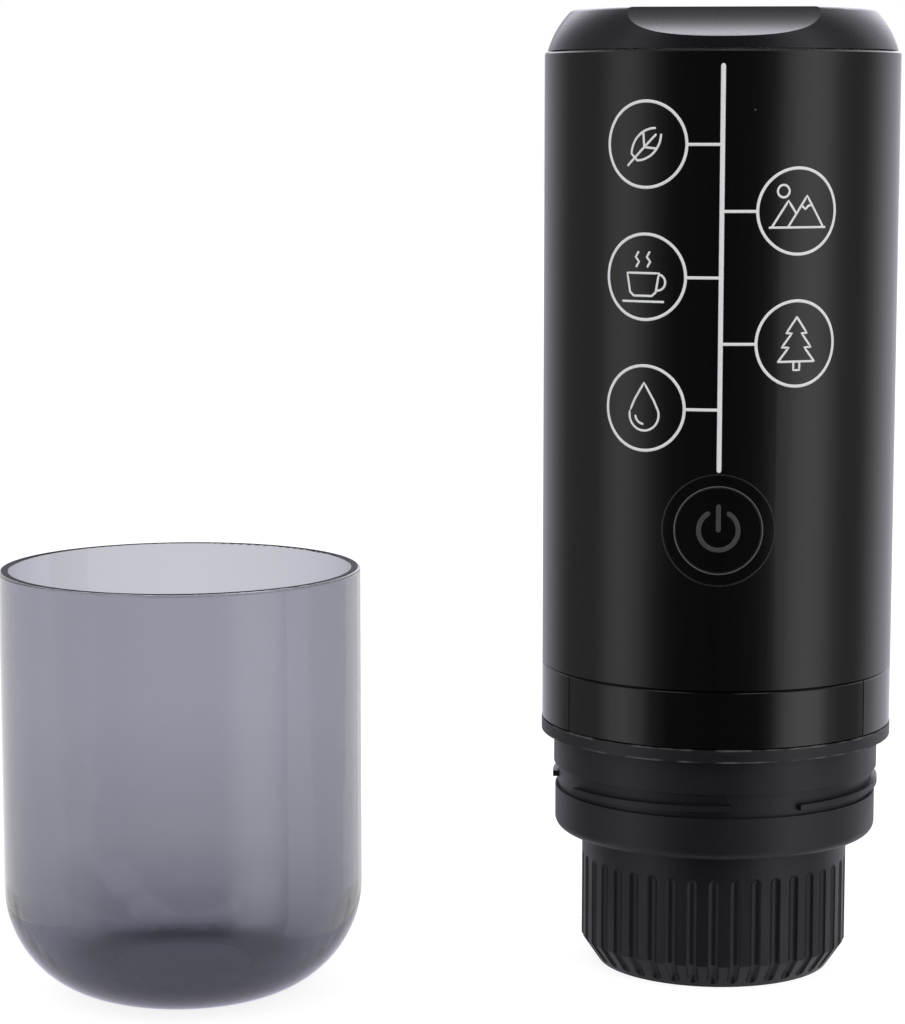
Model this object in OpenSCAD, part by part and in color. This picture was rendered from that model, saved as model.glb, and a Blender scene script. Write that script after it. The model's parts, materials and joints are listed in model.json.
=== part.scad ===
// Portable coffee machine: a battery heated, pump driven brewer with its own clear cup.
// Frame: millimetres, +Z up, front is -Y. Origin on the floor at the centre of the brew cap's base.

/* [Body] */
// Outside diameter of the body tube, the band and the cup
body_d = 72; // [65:0.5:80]
// Wall of the body tube
body_wall = 1.4; // [1.2:0.1:1.6]
// Length of the body tube
body_len = 125; // [120:1:150]
// Chamfer on the edges of the body tube and the band
edge_chamfer = 0.3; // [0.2:0.1:0.7]
// Height of the glossy band under the body tube
band_h = 11.6; // [11:0.2:14]
// Half of the angle that the band's front panel covers
panel_half_deg = 55.5; // [40:0.5:65]
// Dark joint at each end of the front panel
panel_joint = 0.3; // [0.15:0.05:0.5]

/* [Collar] */
// Height of the flange lip under the band
flange_h = 2.6; // [2:0.2:4]
// How far the flange lip stands out past the band
flange_lip = 0.1; // [0:0.05:0.5]
// How far the collar's upper land is set in from the body
collar_up_inset = 2.5; // [2.3:0.1:3.2]
// Height of the collar's upper land
collar_up_h = 6.9; // [5:0.1:9]
// How far the collar's lower land is set in, where a cup or an adapter seats
collar_low_inset = 2.8; // [2.5:0.1:3.5]
// Height of the collar's lower land
collar_low_h = 8.7; // [7:0.1:11]
// Rounding of the collar's bottom edge
collar_fillet = 2; // [1:0.1:3]
// Height of the cup thread zone between the two lands
thread_h = 5; // [4:0.1:7]
// Depth of the thread zone below the lower land, on radius
thread_depth = 0.7; // [0.3:0.1:0.8]
// Width of a thread ridge
ridge_w = 1.2; // [1:0.1:1.6]
// Height of a thread ridge's middle above the lower land
ridge_rise = 1.9; // [1.6:0.1:2.4]
// How far a thread ridge stands out past the lower land
ridge_out = 0.5; // [0.3:0.1:0.6]
// Number of thread ridges round the collar
ridge_count = 4; // [3:1:6]
// Angle that one thread ridge covers
ridge_deg = 65; // [30:1:75]
// Angle of the first thread ridge's middle
ridge_start = -117; // [-180:1:180]
// Slope of a thread ridge from level
ridge_slope = 0.8; // [0:0.1:1]

/* [Brew cap] */
// Height of the brew cap that shows under the collar
cap_h = 28.3; // [27:0.1:32]
// How far the brew cap is set in from the body
cap_inset = 8.5; // [7.5:0.1:9]
// How far the flat base is set in from the body
base_inset = 12; // [10.5:0.25:14]
// Height of the base chamfer
base_chamfer_h = 5.1; // [4:0.1:6]
// Number of grip flutes
flute_count = 40; // [24:1:44]
// Radius of one grip flute
flute_r = 1.35; // [0.9:0.05:1.4]
// Depth of one grip flute
flute_depth = 0.7; // [0.4:0.05:0.8]
// Height of the smooth neck above the flutes
neck_h = 5.2; // [4:0.1:7]
// Smooth strip between the flutes and the base, along the chamfer
foot_strip = 1; // [0.6:0.1:2]
// Height of the threaded spigot inside the collar
spigot_h = 11.4; // [9:0.1:12]
// Wall of the threaded spigot
spigot_wall = 3.4; // [3:0.1:4]
// Radius of one coffee outlet hole in the base
outlet_r = 1.3; // [1:0.1:1.8]
// Radius of the ring of outlet holes
outlet_ring = 5; // [4:0.1:8]
// Thickness of the brew cap's floor
cap_floor = 4; // [3:0.1:5]

/* [Capsule basket] */
// How far the basket's mouth is set in from the brew cap
basket_inset = 8; // [7.8:0.1:8.5]
// How much narrower the basket is at its floor, on radius
basket_taper = 5.5; // [3.5:0.25:7.5]
// Wall of the basket
basket_wall = 1.2; // [1:0.1:1.4]
// Thickness of the basket's rim
basket_rim = 1.6; // [1.2:0.1:2]
// Depth of the basket inside
basket_depth = 29; // [27:0.5:30]
// Radius of one outlet hole in the basket's floor
basket_hole_r = 0.8; // [0.5:0.1:1]

/* [Lid] */
// Height of the lid
lid_h = 8.1; // [7.6:0.1:10]
// How far the lid is set in from the body at the seam
lid_inset = 0.6; // [0.5:0.05:1]
// How far the lid's flat top is set in from the body
lid_top_inset = 5.4; // [4.5:0.1:7]
// Radius of the curved lid wall, in section
lid_arc_r = 19; // [15:0.5:30]
// Dark seam between the lid and the body tube
lid_seam = 0.35; // [0.2:0.05:0.6]
// Height of the thumb scoop's lower edge above the seam
scoop_z = 2.2; // [1.5:0.1:3]
// Slope of the thumb scoop from level
scoop_deg = 30; // [26:1:34]
// Radius of the hollow of the thumb scoop
scoop_r = 20; // [16:1:40]
// Rounding of the lid's top edge
lid_edge = 1.5; // [0.5:0.1:2]
// Depth of the lid's threaded plug below the seam
plug_drop = 8; // [6:0.1:8.4]
// Wall of the lid's plug
plug_wall = 2.7; // [2:0.1:3.5]

/* [Water tank] */
// Wall of the steel tank
tank_wall = 0.8; // [0.6:0.1:1]
// Wall of the insulating cradle round the tank
cradle_wall = 1.3; // [1:0.1:1.6]
// Air gap between the tank and its cradle
tank_air = 2; // [1.5:0.1:3]
// Height of the threaded ring above the tank
ring_h = 9; // [8.8:0.1:11]
// Width of the ring round the filling mouth
mouth_rim = 6.5; // [6.1:0.1:8.5]
// Thickness of the heater plate
heater_t = 2.5; // [2:0.1:3]
// Room for the sensor between the heater plate and the cradle floor
heater_room = 6; // [5:0.1:8]

/* [Power button] */
// Height of the button's centre above the floor
button_z = 95.2; // [90:0.2:110]
// Radius of the button cap
button_r = 8.1; // [7.5:0.1:8.5]
// Width of the thin ring round the button cap
light_ring_w = 0.45; // [0.4:0.05:0.6]
// Outside radius of the button bezel
bezel_r = 11; // [10.4:0.1:11.6]
// Travel of the button
button_travel = 0.8; // [0.5:0.1:1]

/* [Power pack and pump] */
// Diameter of one battery cell in a 72 mm body
cell_d = 18.4; // [18:0.1:18.6]
// Length of one battery cell
cell_len = 65; // [64:0.2:67]
// Diameter of the motor can in a 72 mm body
motor_d = 24; // [22:0.1:24.2]
// Length of the motor can
motor_len = 31; // [26:0.5:40]
// Module of the pump's gear pair in a 72 mm body
gear_m = 0.4; // [0.38:0.01:0.41]
// Teeth of the motor pinion, an odd number
pinion_teeth = 15; // [13:2:15]
// Teeth of the cam gear
cam_teeth = 45; // [43:1:45]
// Throw of the cam's eccentric in a 72 mm body
cam_throw = 2; // [1:0.1:2.2]
// Radius of the cam's eccentric in a 72 mm body
cam_r = 5; // [4.6:0.1:5.2]
// Outside radius of the pump barrel
barrel_r = 4.2; // [3.8:0.1:4.4]
// Length of the pump barrel in a 72 mm body
barrel_len = 9.5; // [9:0.1:10]
// Radius of the pump plunger
plunger_r = 2; // [1.6:0.1:2.2]
// Outside radius of the water tubes
tube_r = 2.2; // [2:0.1:2.4]
// Wall of the water tubes
tube_wall = 0.8; // [0.6:0.1:0.9]

/* [Cup] */
// Height of the cup
cup_h = 86; // [75:1:100]
// Wall of the cup
cup_wall = 1.8; // [1.4:0.1:1.9]
// Rounding of the cup's rim
cup_lip = 0.5; // [0.2:0.1:0.8]
// Thickness of the cup's floor
cup_floor = 3.2; // [2:0.1:5]
// Outside rounding of the cup's bottom edge
cup_corner = 22; // [12:0.5:24]
// Cup axis from the machine axis, to the left
cup_left = 107; // [85:1:160]
// Cup axis from the machine axis, to the front
cup_front = 31; // [0:1:60]

/* [Hidden] */
$fn = 96;
// Clearance of pieces that are fixed to each other, on radius
fit = 0.1;
// Running clearance of a shaft, pin or plunger, on radius
run = 0.05;
// Clearance of a screwed piece in its socket, on radius
thread_fit = 0.3;
// Fine gap at a joint line
seam = 0.15;
// Overshoot of a cutting solid
cut = 1;

body_r = body_d / 2;
body_ri = body_r - body_wall;
// The cells and the drive keep their share of the room in the body
design_d = 72;
share = body_d / design_d;
collar_up_r = body_r - collar_up_inset;
collar_low_r = body_r - collar_low_inset;
cap_r = body_r - cap_inset;
base_r = body_r - base_inset;
basket_r = cap_r - basket_inset;
basket_foot_r = basket_r - basket_taper;
lid_r = body_r - lid_inset;
lid_top_r = body_r - lid_top_inset;

// Levels of the outside, from the floor up
collar_z = cap_h;
thread_z = collar_z + collar_low_h;
land_z = thread_z + thread_h;
flange_z = land_z + collar_up_h;
band_z = flange_z + flange_h;
tube_z = band_z + band_h;
tube_top = tube_z + body_len;
lid_z = tube_top + lid_seam;
lid_top = lid_z + lid_h;

// Collar inside: a bore for the brew cap, a web, and a well for the pump
bore_lip = 0.7;
bore_r = cap_r - bore_lip;
spigot_top = collar_z + spigot_h;
gasket_t = 1.5;
gasket_in = 0.8;
gasket_out = 1.6;
head_t = 3;
web_t = 3;
gasket_z = spigot_top + seam + fit;
head_z = gasket_z + gasket_t;
web_z = head_z + head_t;
well_z = web_z + web_t;
sleeve_r = body_ri - fit;
sleeve_wall = 2;
sleeve_h = 7;
sleeve_top = tube_z + sleeve_h;
well_lip = 2;
well_r = sleeve_r - sleeve_wall - well_lip;
pillar_r = 3;
pillar_gap = 0.5;
pillar_ring = well_r - pillar_r - pillar_gap;
pillar_angles = [40, -75, 190];
screw_r = 1;
screw_head_r = 1.9;
screw_head_h = 1.4;
// How far a screw bites into what it holds, and how deep its hole is
screw_bite = 6;
screw_hole = 8;

// Basket and brew cap inside
basket_lip = 2;
basket_neck = 6;
basket_pitch = 4;
floor_bevel = 2;

// Decks, cells and tank
deck_t = 2.5;
deck_rise = 16.5;
deck_z = well_z + deck_rise;
deck_top = deck_z + deck_t;
deck_r = sleeve_r - sleeve_wall - fit;
tab_t = 0.3;
tab_r = 5;
tab_w = 6;
crimp_drop = 3.2;
crimp_r = 0.8;
cell_z = deck_top + tab_t;
cell_top = cell_z + cell_len;
cradle_z = cell_top + tab_t;
cradle_floor = 2.5;
cradle_r = body_ri - fit;
heater_z = cradle_z + cradle_floor + heater_room;
tank_z = heater_z + heater_t;
ring_gap = 0.4;
ring_top = tube_top - ring_gap;
ring_z = ring_top - ring_h;
tank_gasket_t = 0.8;
mouth_chamfer = 0.6;
flange_top = ring_z - tank_gasket_t;
cradle_top = flange_top - tank_wall;
tank_r = cradle_r - cradle_wall - tank_air;
drawn_corner = 5.5;
tank_corner = drawn_corner * share;
mouth_r = cradle_r - mouth_rim;
spigot_drop = 4;
sensor_r = 2.5;
sensor_off = 10;
sensor_x = sensor_off * share;
heater_hole_gap = 0.6;
motor_r = motor_d / 2 * share;
cell_r = cell_d / 2 * share;
cell_gap = 1.3;
cell_ring = motor_r + cell_gap + cell_r;
cell_angles = [90, 210, 330];
post_r = 2.8;
post_gap = 0.4;
post_ring = deck_r - post_r - post_gap;
front_post_deg = 35;
back_post_deg = 31;
post_angles = [-90 - front_post_deg, -90 + front_post_deg, 90 - back_post_deg, 90 + back_post_deg];

// Main board and power button
board_t = 1.6;
board_y = -post_ring * cos(front_post_deg);
board_front = board_y - board_t / 2;
post_x = post_ring * sin(front_post_deg);
board_slot = 1.6;
board_half_w = post_x - post_r + board_slot - fit;
board_rise = 6;
board_z = deck_top + board_rise;
board_h = 52;
switch_w = 6.2;
switch_h = 3.8;
switch_front = board_front - switch_h;
switch_pin_r = 1.7;
switch_pin_out = 0.9;
switch_pin_in = 1;
stem_end = switch_front - switch_pin_out;
bezel_bore = button_r + fit + light_ring_w + run;
bezel_flange = 2;
bezel_flange_t = 1.1;
bezel_back = -sqrt(pow(body_ri, 2) - pow(bezel_r + bezel_flange, 2)) + bezel_flange_t;
ring_depth = 3;
ring_back = -body_r + ring_depth;
cap_stop = ring_back + fit;
cap_skin = 1;
cap_stop_t = 1.2;
stem_r = 2.2;
switch_gap = 0.2;
pin_room = switch_front + switch_pin_in + button_travel + switch_gap;

// Gear pair, cam and pump
gear_w = 3;
tooth_m = gear_m * share;
pinion_pitch = tooth_m * pinion_teeth / 2;
cam_pitch = tooth_m * cam_teeth / 2;
gear_play = 0.12;
cam_x = -(pinion_pitch + cam_pitch);
gear_drop = 4.5;
gear_z = deck_z - gear_drop;
cam_drop = 7;
cam_z = gear_z - cam_drop;
cam_pin_r = 1.5;
cam_pin_head = 1;
cam_pin_gap = 0.2;
shaft_r = 1;
shaft_end = 1;
shaft_low = gear_z - shaft_end;
motor_boss_r = 3;
end_cap_h = 2.4;
end_cap_step = 1;
shaft_out = 0.8;
terminal_t = 0.8;
terminal_w = 3;
terminal_h = 6;
terminal_in = 4;
motor_top = deck_top + motor_len;
pump_z = cam_z + cam_drop / 2;
throw = cam_throw * share;
eccentric_r = cam_r * share;
tip_gap = 0.3;
plunger_tip = throw + eccentric_r + tip_gap;
plunger_head = 1.4;
spring_fitted = 5.5;
spring_len = spring_fitted * share;
spring_wire = 0.35;
spring_turns = 4;
spring_gap = 0.4;
spring_r = plunger_r + spring_gap + spring_wire;
barrel_y = plunger_tip + plunger_head + spring_len;
pump_len = barrel_len * share;
inlet_step = 3.6;
outlet_step = 2.6;
inlet_y = barrel_y + inlet_step * share;
outlet_y = barrel_y + outlet_step * share;
inlet_h = 4;
outlet_h = 2.4;
nipple_wall = 0.5;
push_gap = 0.6;
barrel_foot = 6;
foot_step = 1;
plug_t = 1.2;
plug_stem = 2.5;
plunger_in = 2;
tube_bore = tube_r - tube_wall;
nipple_r = tube_bore - run;
bend_r = 4.2;
boss_r = 8;
boss_rise = 1;
boss_top = well_z + boss_rise;
head_screw_ring = boss_r + 5;
head_screw_angles = [30, 150, 270];
head_bite = 1.6;
head_step = 2;
screen_depth = 1;
screen_t = 0.5;
screen_step = 1;
screen_r = basket_r - screen_step;
screen_hole_r = 0.7;
needle_r = 1.6;
needle_tip_r = 0.3;
needle_len = 4;
needle_root = 2;
needle_out = 5;
nipple_top = pump_z - bend_r;

// Charging socket at the back of the band
usb_w = 9;
usb_h = 3.2;
usb_len = 9;
charge_t = 1.6;
usb_z = band_z + band_h / 2 - usb_h / 2;
charge_z = usb_z - charge_t;
charge_gap = 1.6;
charge_y = outlet_y + tube_r + charge_gap;
charge_side = 3;
charge_shift = 1.2;
charge_post_r = 1.8;
charge_post_x = usb_w / 2 + seam;
charge_post_y = 3;
usb_inset = 0.6;
usb_wall = 0.35;
usb_back = 2;

// A rectangle of a section to be turned round the axis
module band2d(r0, r1, z0, z1) {
    translate([r0, z0])
        square([r1 - r0, z1 - z0]);
}

// A rectangle whose two outer corners are cut off
module chamfered2d(r0, r1, z0, z1, c) {
    polygon([[r0, z0], [r1 - c, z0], [r1, z0 + c], [r1, z1 - c], [r1 - c, z1], [r0, z1]]);
}

// A cylinder that lies along +Y from y0 to y1
module bar_y(r, y0, y1) {
    translate([0, y0, 0])
        rotate([-90, 0, 0])
            cylinder(r = r, h = y1 - y0);
}

// Copies of a shape on a ring
module on_ring(radius, angles) {
    for (a = angles)
        rotate(a)
            translate([radius, 0, 0])
                children();
}

// A screw that points down, with its head's underside at z = 0
module screw(len) {
    cylinder(r = screw_head_r, h = screw_head_h);
    translate([0, 0, -len])
        cylinder(r = screw_r, h = len);
}

// The body: a drawn tube with a round window for the button bezel
module body_tube() {
    color("#17171a")
    difference() {
        rotate_extrude()
            chamfered2d(body_ri, body_r, tube_z, tube_top, edge_chamfer);
        translate([0, 0, button_z])
            bar_y(bezel_r + run, -body_r - cut, 0);
    }
}

// One part of the glossy band, from one angle over another
module band_part(from, over) {
    rotate_extrude(angle = over, start = from)
        chamfered2d(sleeve_r + fit, body_r, band_z, tube_z, edge_chamfer);
}

module usb_slot(y0, y1, gap) {
    r = usb_h / 2 + gap;
    for (s = [-1, 1])
        translate([s * (usb_w - usb_h) / 2, 0, usb_z + usb_h / 2])
            bar_y(r, y0, y1);
    translate([-(usb_w - usb_h) / 2, y0, usb_z + usb_h / 2 - r])
        cube([usb_w - usb_h, y1 - y0, 2 * r]);
}

module band_ring() {
    color("#141416")
    difference() {
        band_part(-90 + panel_half_deg, 360 - 2 * panel_half_deg);
        usb_slot(0, body_r + cut, fit);
    }
}

module front_panel() {
    joint_deg = panel_joint * 180 / PI / body_r;
    color("#101012")
    band_part(-90 - panel_half_deg + joint_deg, 2 * panel_half_deg - 2 * joint_deg);
}

// One thread ridge: a sector of a ring between two slightly tilted planes
module ridge() {
    intersection() {
        rotate([ridge_slope, 0, 0])
            cube([2 * body_d, 2 * body_d, ridge_w], center = true);
        rotate_extrude(angle = ridge_deg, start = -ridge_deg / 2)
            band2d(collar_low_r - 2 * thread_depth, collar_low_r + ridge_out, -thread_h / 2, thread_h / 2);
    }
}

module collar_section() {
    difference() {
        union() {
            band2d(0, collar_low_r - collar_fillet, collar_z, thread_z);
            band2d(0, collar_low_r, collar_z + collar_fillet, thread_z);
            translate([collar_low_r - collar_fillet, collar_z + collar_fillet])
                circle(r = collar_fillet);
            band2d(0, collar_low_r - thread_depth, thread_z, land_z);
            band2d(0, collar_up_r, land_z, flange_z);
            band2d(0, body_r + flange_lip, flange_z, band_z);
            band2d(0, sleeve_r, band_z, sleeve_top);
        }
        band2d(-cut, bore_r, collar_z - cut, web_z);
        band2d(-cut, boss_r + fit, web_z - cut, well_z + cut);
        band2d(-cut, well_r, well_z, deck_z);
        band2d(-cut, sleeve_r - sleeve_wall, deck_z, sleeve_top + cut);
    }
}

// The collar carries the band and the tube outside, the pump on its web, and the cup on its ridges
module collar() {
    color("#26262a")
    difference() {
        union() {
            rotate_extrude()
                collar_section();
            for (i = [0 : ridge_count - 1])
                translate([0, 0, thread_z + ridge_rise])
                    rotate(ridge_start + i * 360 / ridge_count)
                        ridge();
            on_ring(pillar_ring, pillar_angles)
                translate([0, 0, web_z + web_t / 2])
                    cylinder(r = pillar_r, h = deck_z - web_z - web_t / 2);
            for (s = [-1, 1])
                translate([s * charge_post_x, charge_y + charge_post_y, web_z + web_t / 2])
                    cylinder(r = charge_post_r, h = charge_z - web_z - web_t / 2);
        }
        on_ring(pillar_ring, pillar_angles)
            translate([0, 0, deck_z - screw_hole])
                cylinder(r = screw_r + run, h = screw_hole + cut);
        on_ring(head_screw_ring, head_screw_angles)
            translate([0, 0, web_z - cut])
                cylinder(r = screw_r + run, h = web_t + 2 * cut);
        usb_slot(well_r - well_lip, body_r + cut, fit);
    }
}

// Threaded ring that closes the tube's mouth and clamps the tank
module top_ring() {
    color("#222226")
    rotate_extrude()
        difference() {
            chamfered2d(mouth_r, cradle_r, ring_z, ring_top, edge_chamfer);
            translate([mouth_r, ring_top])
                circle(r = mouth_chamfer, $fn = 4);
        }
}

module tank_gasket() {
    color("#b9b9b4")
    rotate_extrude()
        band2d(mouth_r + tank_gasket_t, cradle_r - tank_gasket_t, flange_top, ring_z);
}

// Deep drawn tank: flange, wall, rounded bottom corner and a spigot for the suction tube
module water_tank() {
    color("#b8bcc2")
    difference() {
        union() {
            rotate_extrude() {
                difference() {
                    union() {
                        band2d(0, tank_r, tank_z + tank_corner, flange_top);
                        band2d(0, tank_r - tank_corner, tank_z, flange_top);
                        translate([tank_r - tank_corner, tank_z + tank_corner])
                            circle(r = tank_corner);
                    }
                    band2d(-cut, tank_r - tank_wall, tank_z + tank_corner, flange_top + cut);
                    band2d(-cut, tank_r - tank_corner, tank_z + tank_wall, flange_top + cut);
                    translate([tank_r - tank_corner, tank_z + tank_corner])
                        circle(r = tank_corner - tank_wall);
                }
                band2d(tank_r - tank_wall / 2, cradle_r - fit, cradle_top, flange_top);
            }
            translate([cam_x, inlet_y, heater_z - spigot_drop])
                cylinder(r = nipple_r, h = heater_t + spigot_drop + tank_wall / 2);
        }
        translate([cam_x, inlet_y, heater_z - spigot_drop - cut])
            cylinder(r = nipple_r - nipple_wall, h = heater_t + spigot_drop + tank_wall + 2 * cut);
    }
}

// Insulating cradle: its floor closes the cell bay, its rim carries the tank's flange
module tank_cradle() {
    color("#d8d6cc")
    difference() {
        rotate_extrude() {
            band2d(0, cradle_r, cradle_z, cradle_z + cradle_floor);
            band2d(cradle_r - cradle_wall, cradle_r, cradle_z, cradle_top);
        }
        translate([cam_x, inlet_y, cradle_z - cut])
            cylinder(r = tube_r + fit, h = cradle_floor + 2 * cut);
        on_ring(post_ring, post_angles)
            translate([0, 0, cradle_z - cut])
                cylinder(r = screw_r + run, h = cradle_floor + 2 * cut);
    }
}

module heater_plate() {
    color("#8d8f94")
    difference() {
        translate([0, 0, heater_z])
            cylinder(r = tank_r - tank_corner, h = heater_t);
        translate([cam_x, inlet_y, heater_z - cut])
            cylinder(r = tube_r + heater_hole_gap, h = heater_t + 2 * cut);
    }
}

module temperature_sensor() {
    color("#c9a24a")
    translate([sensor_x, 0, heater_z - spigot_drop])
        cylinder(r = sensor_r, h = spigot_drop);
}

// Three cells, each with the crimp groove near its top
module battery_cells() {
    color("#2f5f8f")
    on_ring(cell_ring, cell_angles)
        rotate_extrude()
            difference() {
                band2d(0, cell_r, cell_z, cell_top);
                translate([cell_r, cell_top - crimp_drop])
                    circle(r = crimp_r, $fn = 32);
            }
}

// Welded tabs: a disc on each cell end, and two straps across the tops
module cell_tabs() {
    span = 2 * cell_ring * sin(60);
    color("#c8c8c8") {
        on_ring(cell_ring, cell_angles)
            translate([0, 0, deck_top])
                cylinder(r = tab_r, h = tab_t);
        translate([0, 0, cell_top])
            linear_extrude(tab_t)
                union() {
                    on_ring(cell_ring, cell_angles)
                        circle(r = tab_r);
                    for (a = [90, 210])
                        rotate(a)
                            translate([cell_ring, 0])
                                rotate(150)
                                    translate([0, -tab_w / 2])
                                        square([span, tab_w]);
                }
    }
}

// Four posts between the deck and the cradle; the front pair hold the main board in slots
module chassis_posts() {
    color("#303034")
    difference() {
        on_ring(post_ring, post_angles)
            translate([0, 0, deck_top])
                cylinder(r = post_r, h = cradle_z - deck_top);
        on_ring(post_ring, post_angles)
            translate([0, 0, cradle_z - screw_hole])
                cylinder(r = screw_r + run, h = screw_hole + cut);
        for (s = [-1, 1])
            translate([s * (post_x - post_r), board_y, board_z + board_h / 2])
                cube([2 * board_slot, board_t + 2 * run, board_h + 2 * run], center = true);
    }
}

module post_screws() {
    color("#9a9da2")
    on_ring(post_ring, post_angles)
        translate([0, 0, cradle_z + cradle_floor])
            screw(cradle_floor + screw_bite);
}

// Deck on the collar's pillars: carries the motor and the cells, with the gear pair under it
module pump_deck() {
    color("#3a3a3f")
    difference() {
        translate([0, 0, deck_z])
            cylinder(r = deck_r, h = deck_t);
        translate([0, 0, deck_z - cut]) {
            cylinder(r = motor_boss_r + fit, h = deck_t + 2 * cut);
            translate([cam_x, 0, 0])
                cylinder(r = cam_pin_r, h = deck_t + 2 * cut);
            translate([cam_x, inlet_y, 0])
                cylinder(r = tube_r + fit, h = deck_t + 2 * cut);
            on_ring(pillar_ring, pillar_angles)
                cylinder(r = screw_r + run, h = deck_t + 2 * cut);
        }
        on_ring(pillar_ring, pillar_angles)
            translate([0, 0, deck_top - screw_head_h - fit])
                cylinder(r = screw_head_r + fit, h = screw_head_h + cut);
    }
}

module deck_screws() {
    color("#9a9da2")
    on_ring(pillar_ring, pillar_angles)
        translate([0, 0, deck_top - screw_head_h - fit])
            screw(deck_t + screw_bite);
}

module main_board() {
    color("#1f5a3a")
    translate([-board_half_w, board_y - board_t / 2, board_z])
        cube([2 * board_half_w, board_t, board_h]);
}

module switch_case() {
    color("#111111")
    translate([0, 0, button_z])
        difference() {
            translate([-switch_w / 2, switch_front, -switch_w / 2])
                cube([switch_w, switch_h, switch_w]);
            bar_y(switch_pin_r + run, switch_front - cut, pin_room);
        }
}

// The bezel fills the tube's window and holds itself with a flange behind the wall
module button_bezel() {
    color("#0e0e10")
    translate([0, 0, button_z])
        difference() {
            union() {
                intersection() {
                    bar_y(bezel_r, -body_r - cut, bezel_back);
                    cylinder(r = body_r, h = 4 * bezel_r, center = true);
                }
                intersection() {
                    bar_y(bezel_r + bezel_flange, -body_r - cut, bezel_back);
                    cylinder(r = body_ri - fit, h = 4 * bezel_r, center = true);
                }
            }
            bar_y(bezel_bore, -body_r - cut, 0);
        }
}

// Thin metal ring between the bezel and the button cap
module light_ring() {
    color("#8b8e94")
    translate([0, 0, button_z])
        difference() {
            intersection() {
                bar_y(bezel_bore - run, -body_r - cut, ring_back);
                cylinder(r = body_r, h = 4 * bezel_r, center = true);
            }
            bar_y(button_r + fit, -body_r - cut, 0);
        }
}

// Button cap: a face that follows the tube, a stop flange behind the ring, and a stem
module power_button() {
    color("#0c0c0e")
    translate([0, 0, button_z]) {
        intersection() {
            bar_y(button_r, -body_r - cut, cap_stop + cap_skin);
            cylinder(r = body_r - fit, h = 4 * bezel_r, center = true);
        }
        bar_y(bezel_bore - fit, cap_stop, cap_stop + cap_stop_t);
        bar_y(stem_r, cap_stop + cap_skin, stem_end);
    }
}

module switch_pin() {
    color("#6a6a70")
    translate([0, 0, button_z])
        bar_y(switch_pin_r, stem_end, switch_front + switch_pin_in);
}

module charge_board() {
    w = usb_w + 2 * charge_side;
    reach = sqrt(pow(well_r, 2) - pow(w / 2 + charge_shift, 2)) - thread_fit;
    color("#1f5a3a")
    translate([-w / 2 + charge_shift, charge_y, charge_z])
        cube([w, reach - charge_y, charge_t]);
}

module usb_socket() {
    front = body_r - usb_inset;
    color("#a9adb3")
    difference() {
        usb_slot(front - usb_len, front, 0);
        usb_slot(front - usb_len + usb_back, front + cut, -usb_wall);
    }
}

module motor_can() {
    color("#a6a9ae")
    difference() {
        union() {
            translate([0, 0, deck_top])
                cylinder(r = motor_r, h = motor_len);
            translate([0, 0, deck_z])
                cylinder(r = motor_boss_r, h = deck_t + cut);
        }
        translate([0, 0, deck_z - cut])
            cylinder(r = shaft_r + run, h = deck_t + motor_len + 2 * cut);
    }
}

module motor_end_cap() {
    color("#e3e1da")
    difference() {
        union() {
            translate([0, 0, motor_top])
                cylinder(r = motor_r - end_cap_step, h = end_cap_h);
            for (s = [-1, 1])
                translate([s * (motor_r - terminal_in) - terminal_t / 2, -terminal_w / 2, motor_top])
                    cube([terminal_t, terminal_w, terminal_h]);
        }
        translate([0, 0, motor_top - cut])
            cylinder(r = shaft_r + run, h = end_cap_h + 2 * cut);
    }
}

module motor_shaft() {
    color("#d0d2d6")
    translate([0, 0, shaft_low])
        cylinder(r = shaft_r, h = motor_top + end_cap_h + shaft_out - shaft_low);
}

// Involute of the base circle, as an angle in degrees at a radius
function involute(r, base) =
    r <= base ? 0 : let (a = acos(base / r)) tan(a) * 180 / PI - a;

// Half of a tooth's angle at a radius
function half_tooth(r, pitch, teeth) =
    let (base = pitch * cos(20))
    90 / teeth - gear_play * 45 / PI / pitch + involute(pitch, base) - involute(r, base);

// Outline of a spur gear: each flank is an involute in four steps
function gear_points(pitch, teeth) =
    let (root = pitch - 1.25 * tooth_m, tip = pitch + 0.9 * tooth_m, steps = 4)
    [for (t = [0 : teeth - 1], side = [-1, 1], k = [0 : steps])
        let (
            f = side < 0 ? k / steps : 1 - k / steps,
            r = root + (tip - root) * f,
            a = t * 360 / teeth + side * half_tooth(r, pitch, teeth)
        )
        [r * cos(a), r * sin(a)]];

module pinion() {
    color("#c8a84e")
    translate([0, 0, gear_z])
        linear_extrude(gear_w)
            difference() {
                polygon(gear_points(pinion_pitch, pinion_teeth));
                circle(r = shaft_r);
            }
}

// Cam gear and its eccentric, turning on the cam pin
module cam_gear() {
    color("#e8e4d4")
    difference() {
        translate([cam_x, 0, 0]) {
            translate([0, 0, gear_z])
                linear_extrude(gear_w)
                    polygon(gear_points(cam_pitch, cam_teeth));
            translate([0, throw, cam_z])
                cylinder(r = eccentric_r, h = cam_drop + gear_w / 2);
        }
        translate([cam_x, 0, cam_z - cut])
            cylinder(r = cam_pin_r + run, h = cam_drop + gear_w + 2 * cut);
    }
}

module cam_pin() {
    color("#d0d2d6")
    translate([cam_x, 0, cam_z - cam_pin_head - cam_pin_gap]) {
        cylinder(r = cam_pin_r, h = deck_top - cam_z + cam_pin_head + cam_pin_gap);
        cylinder(r = cam_pin_r + cam_pin_head, h = cam_pin_head);
    }
}

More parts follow.
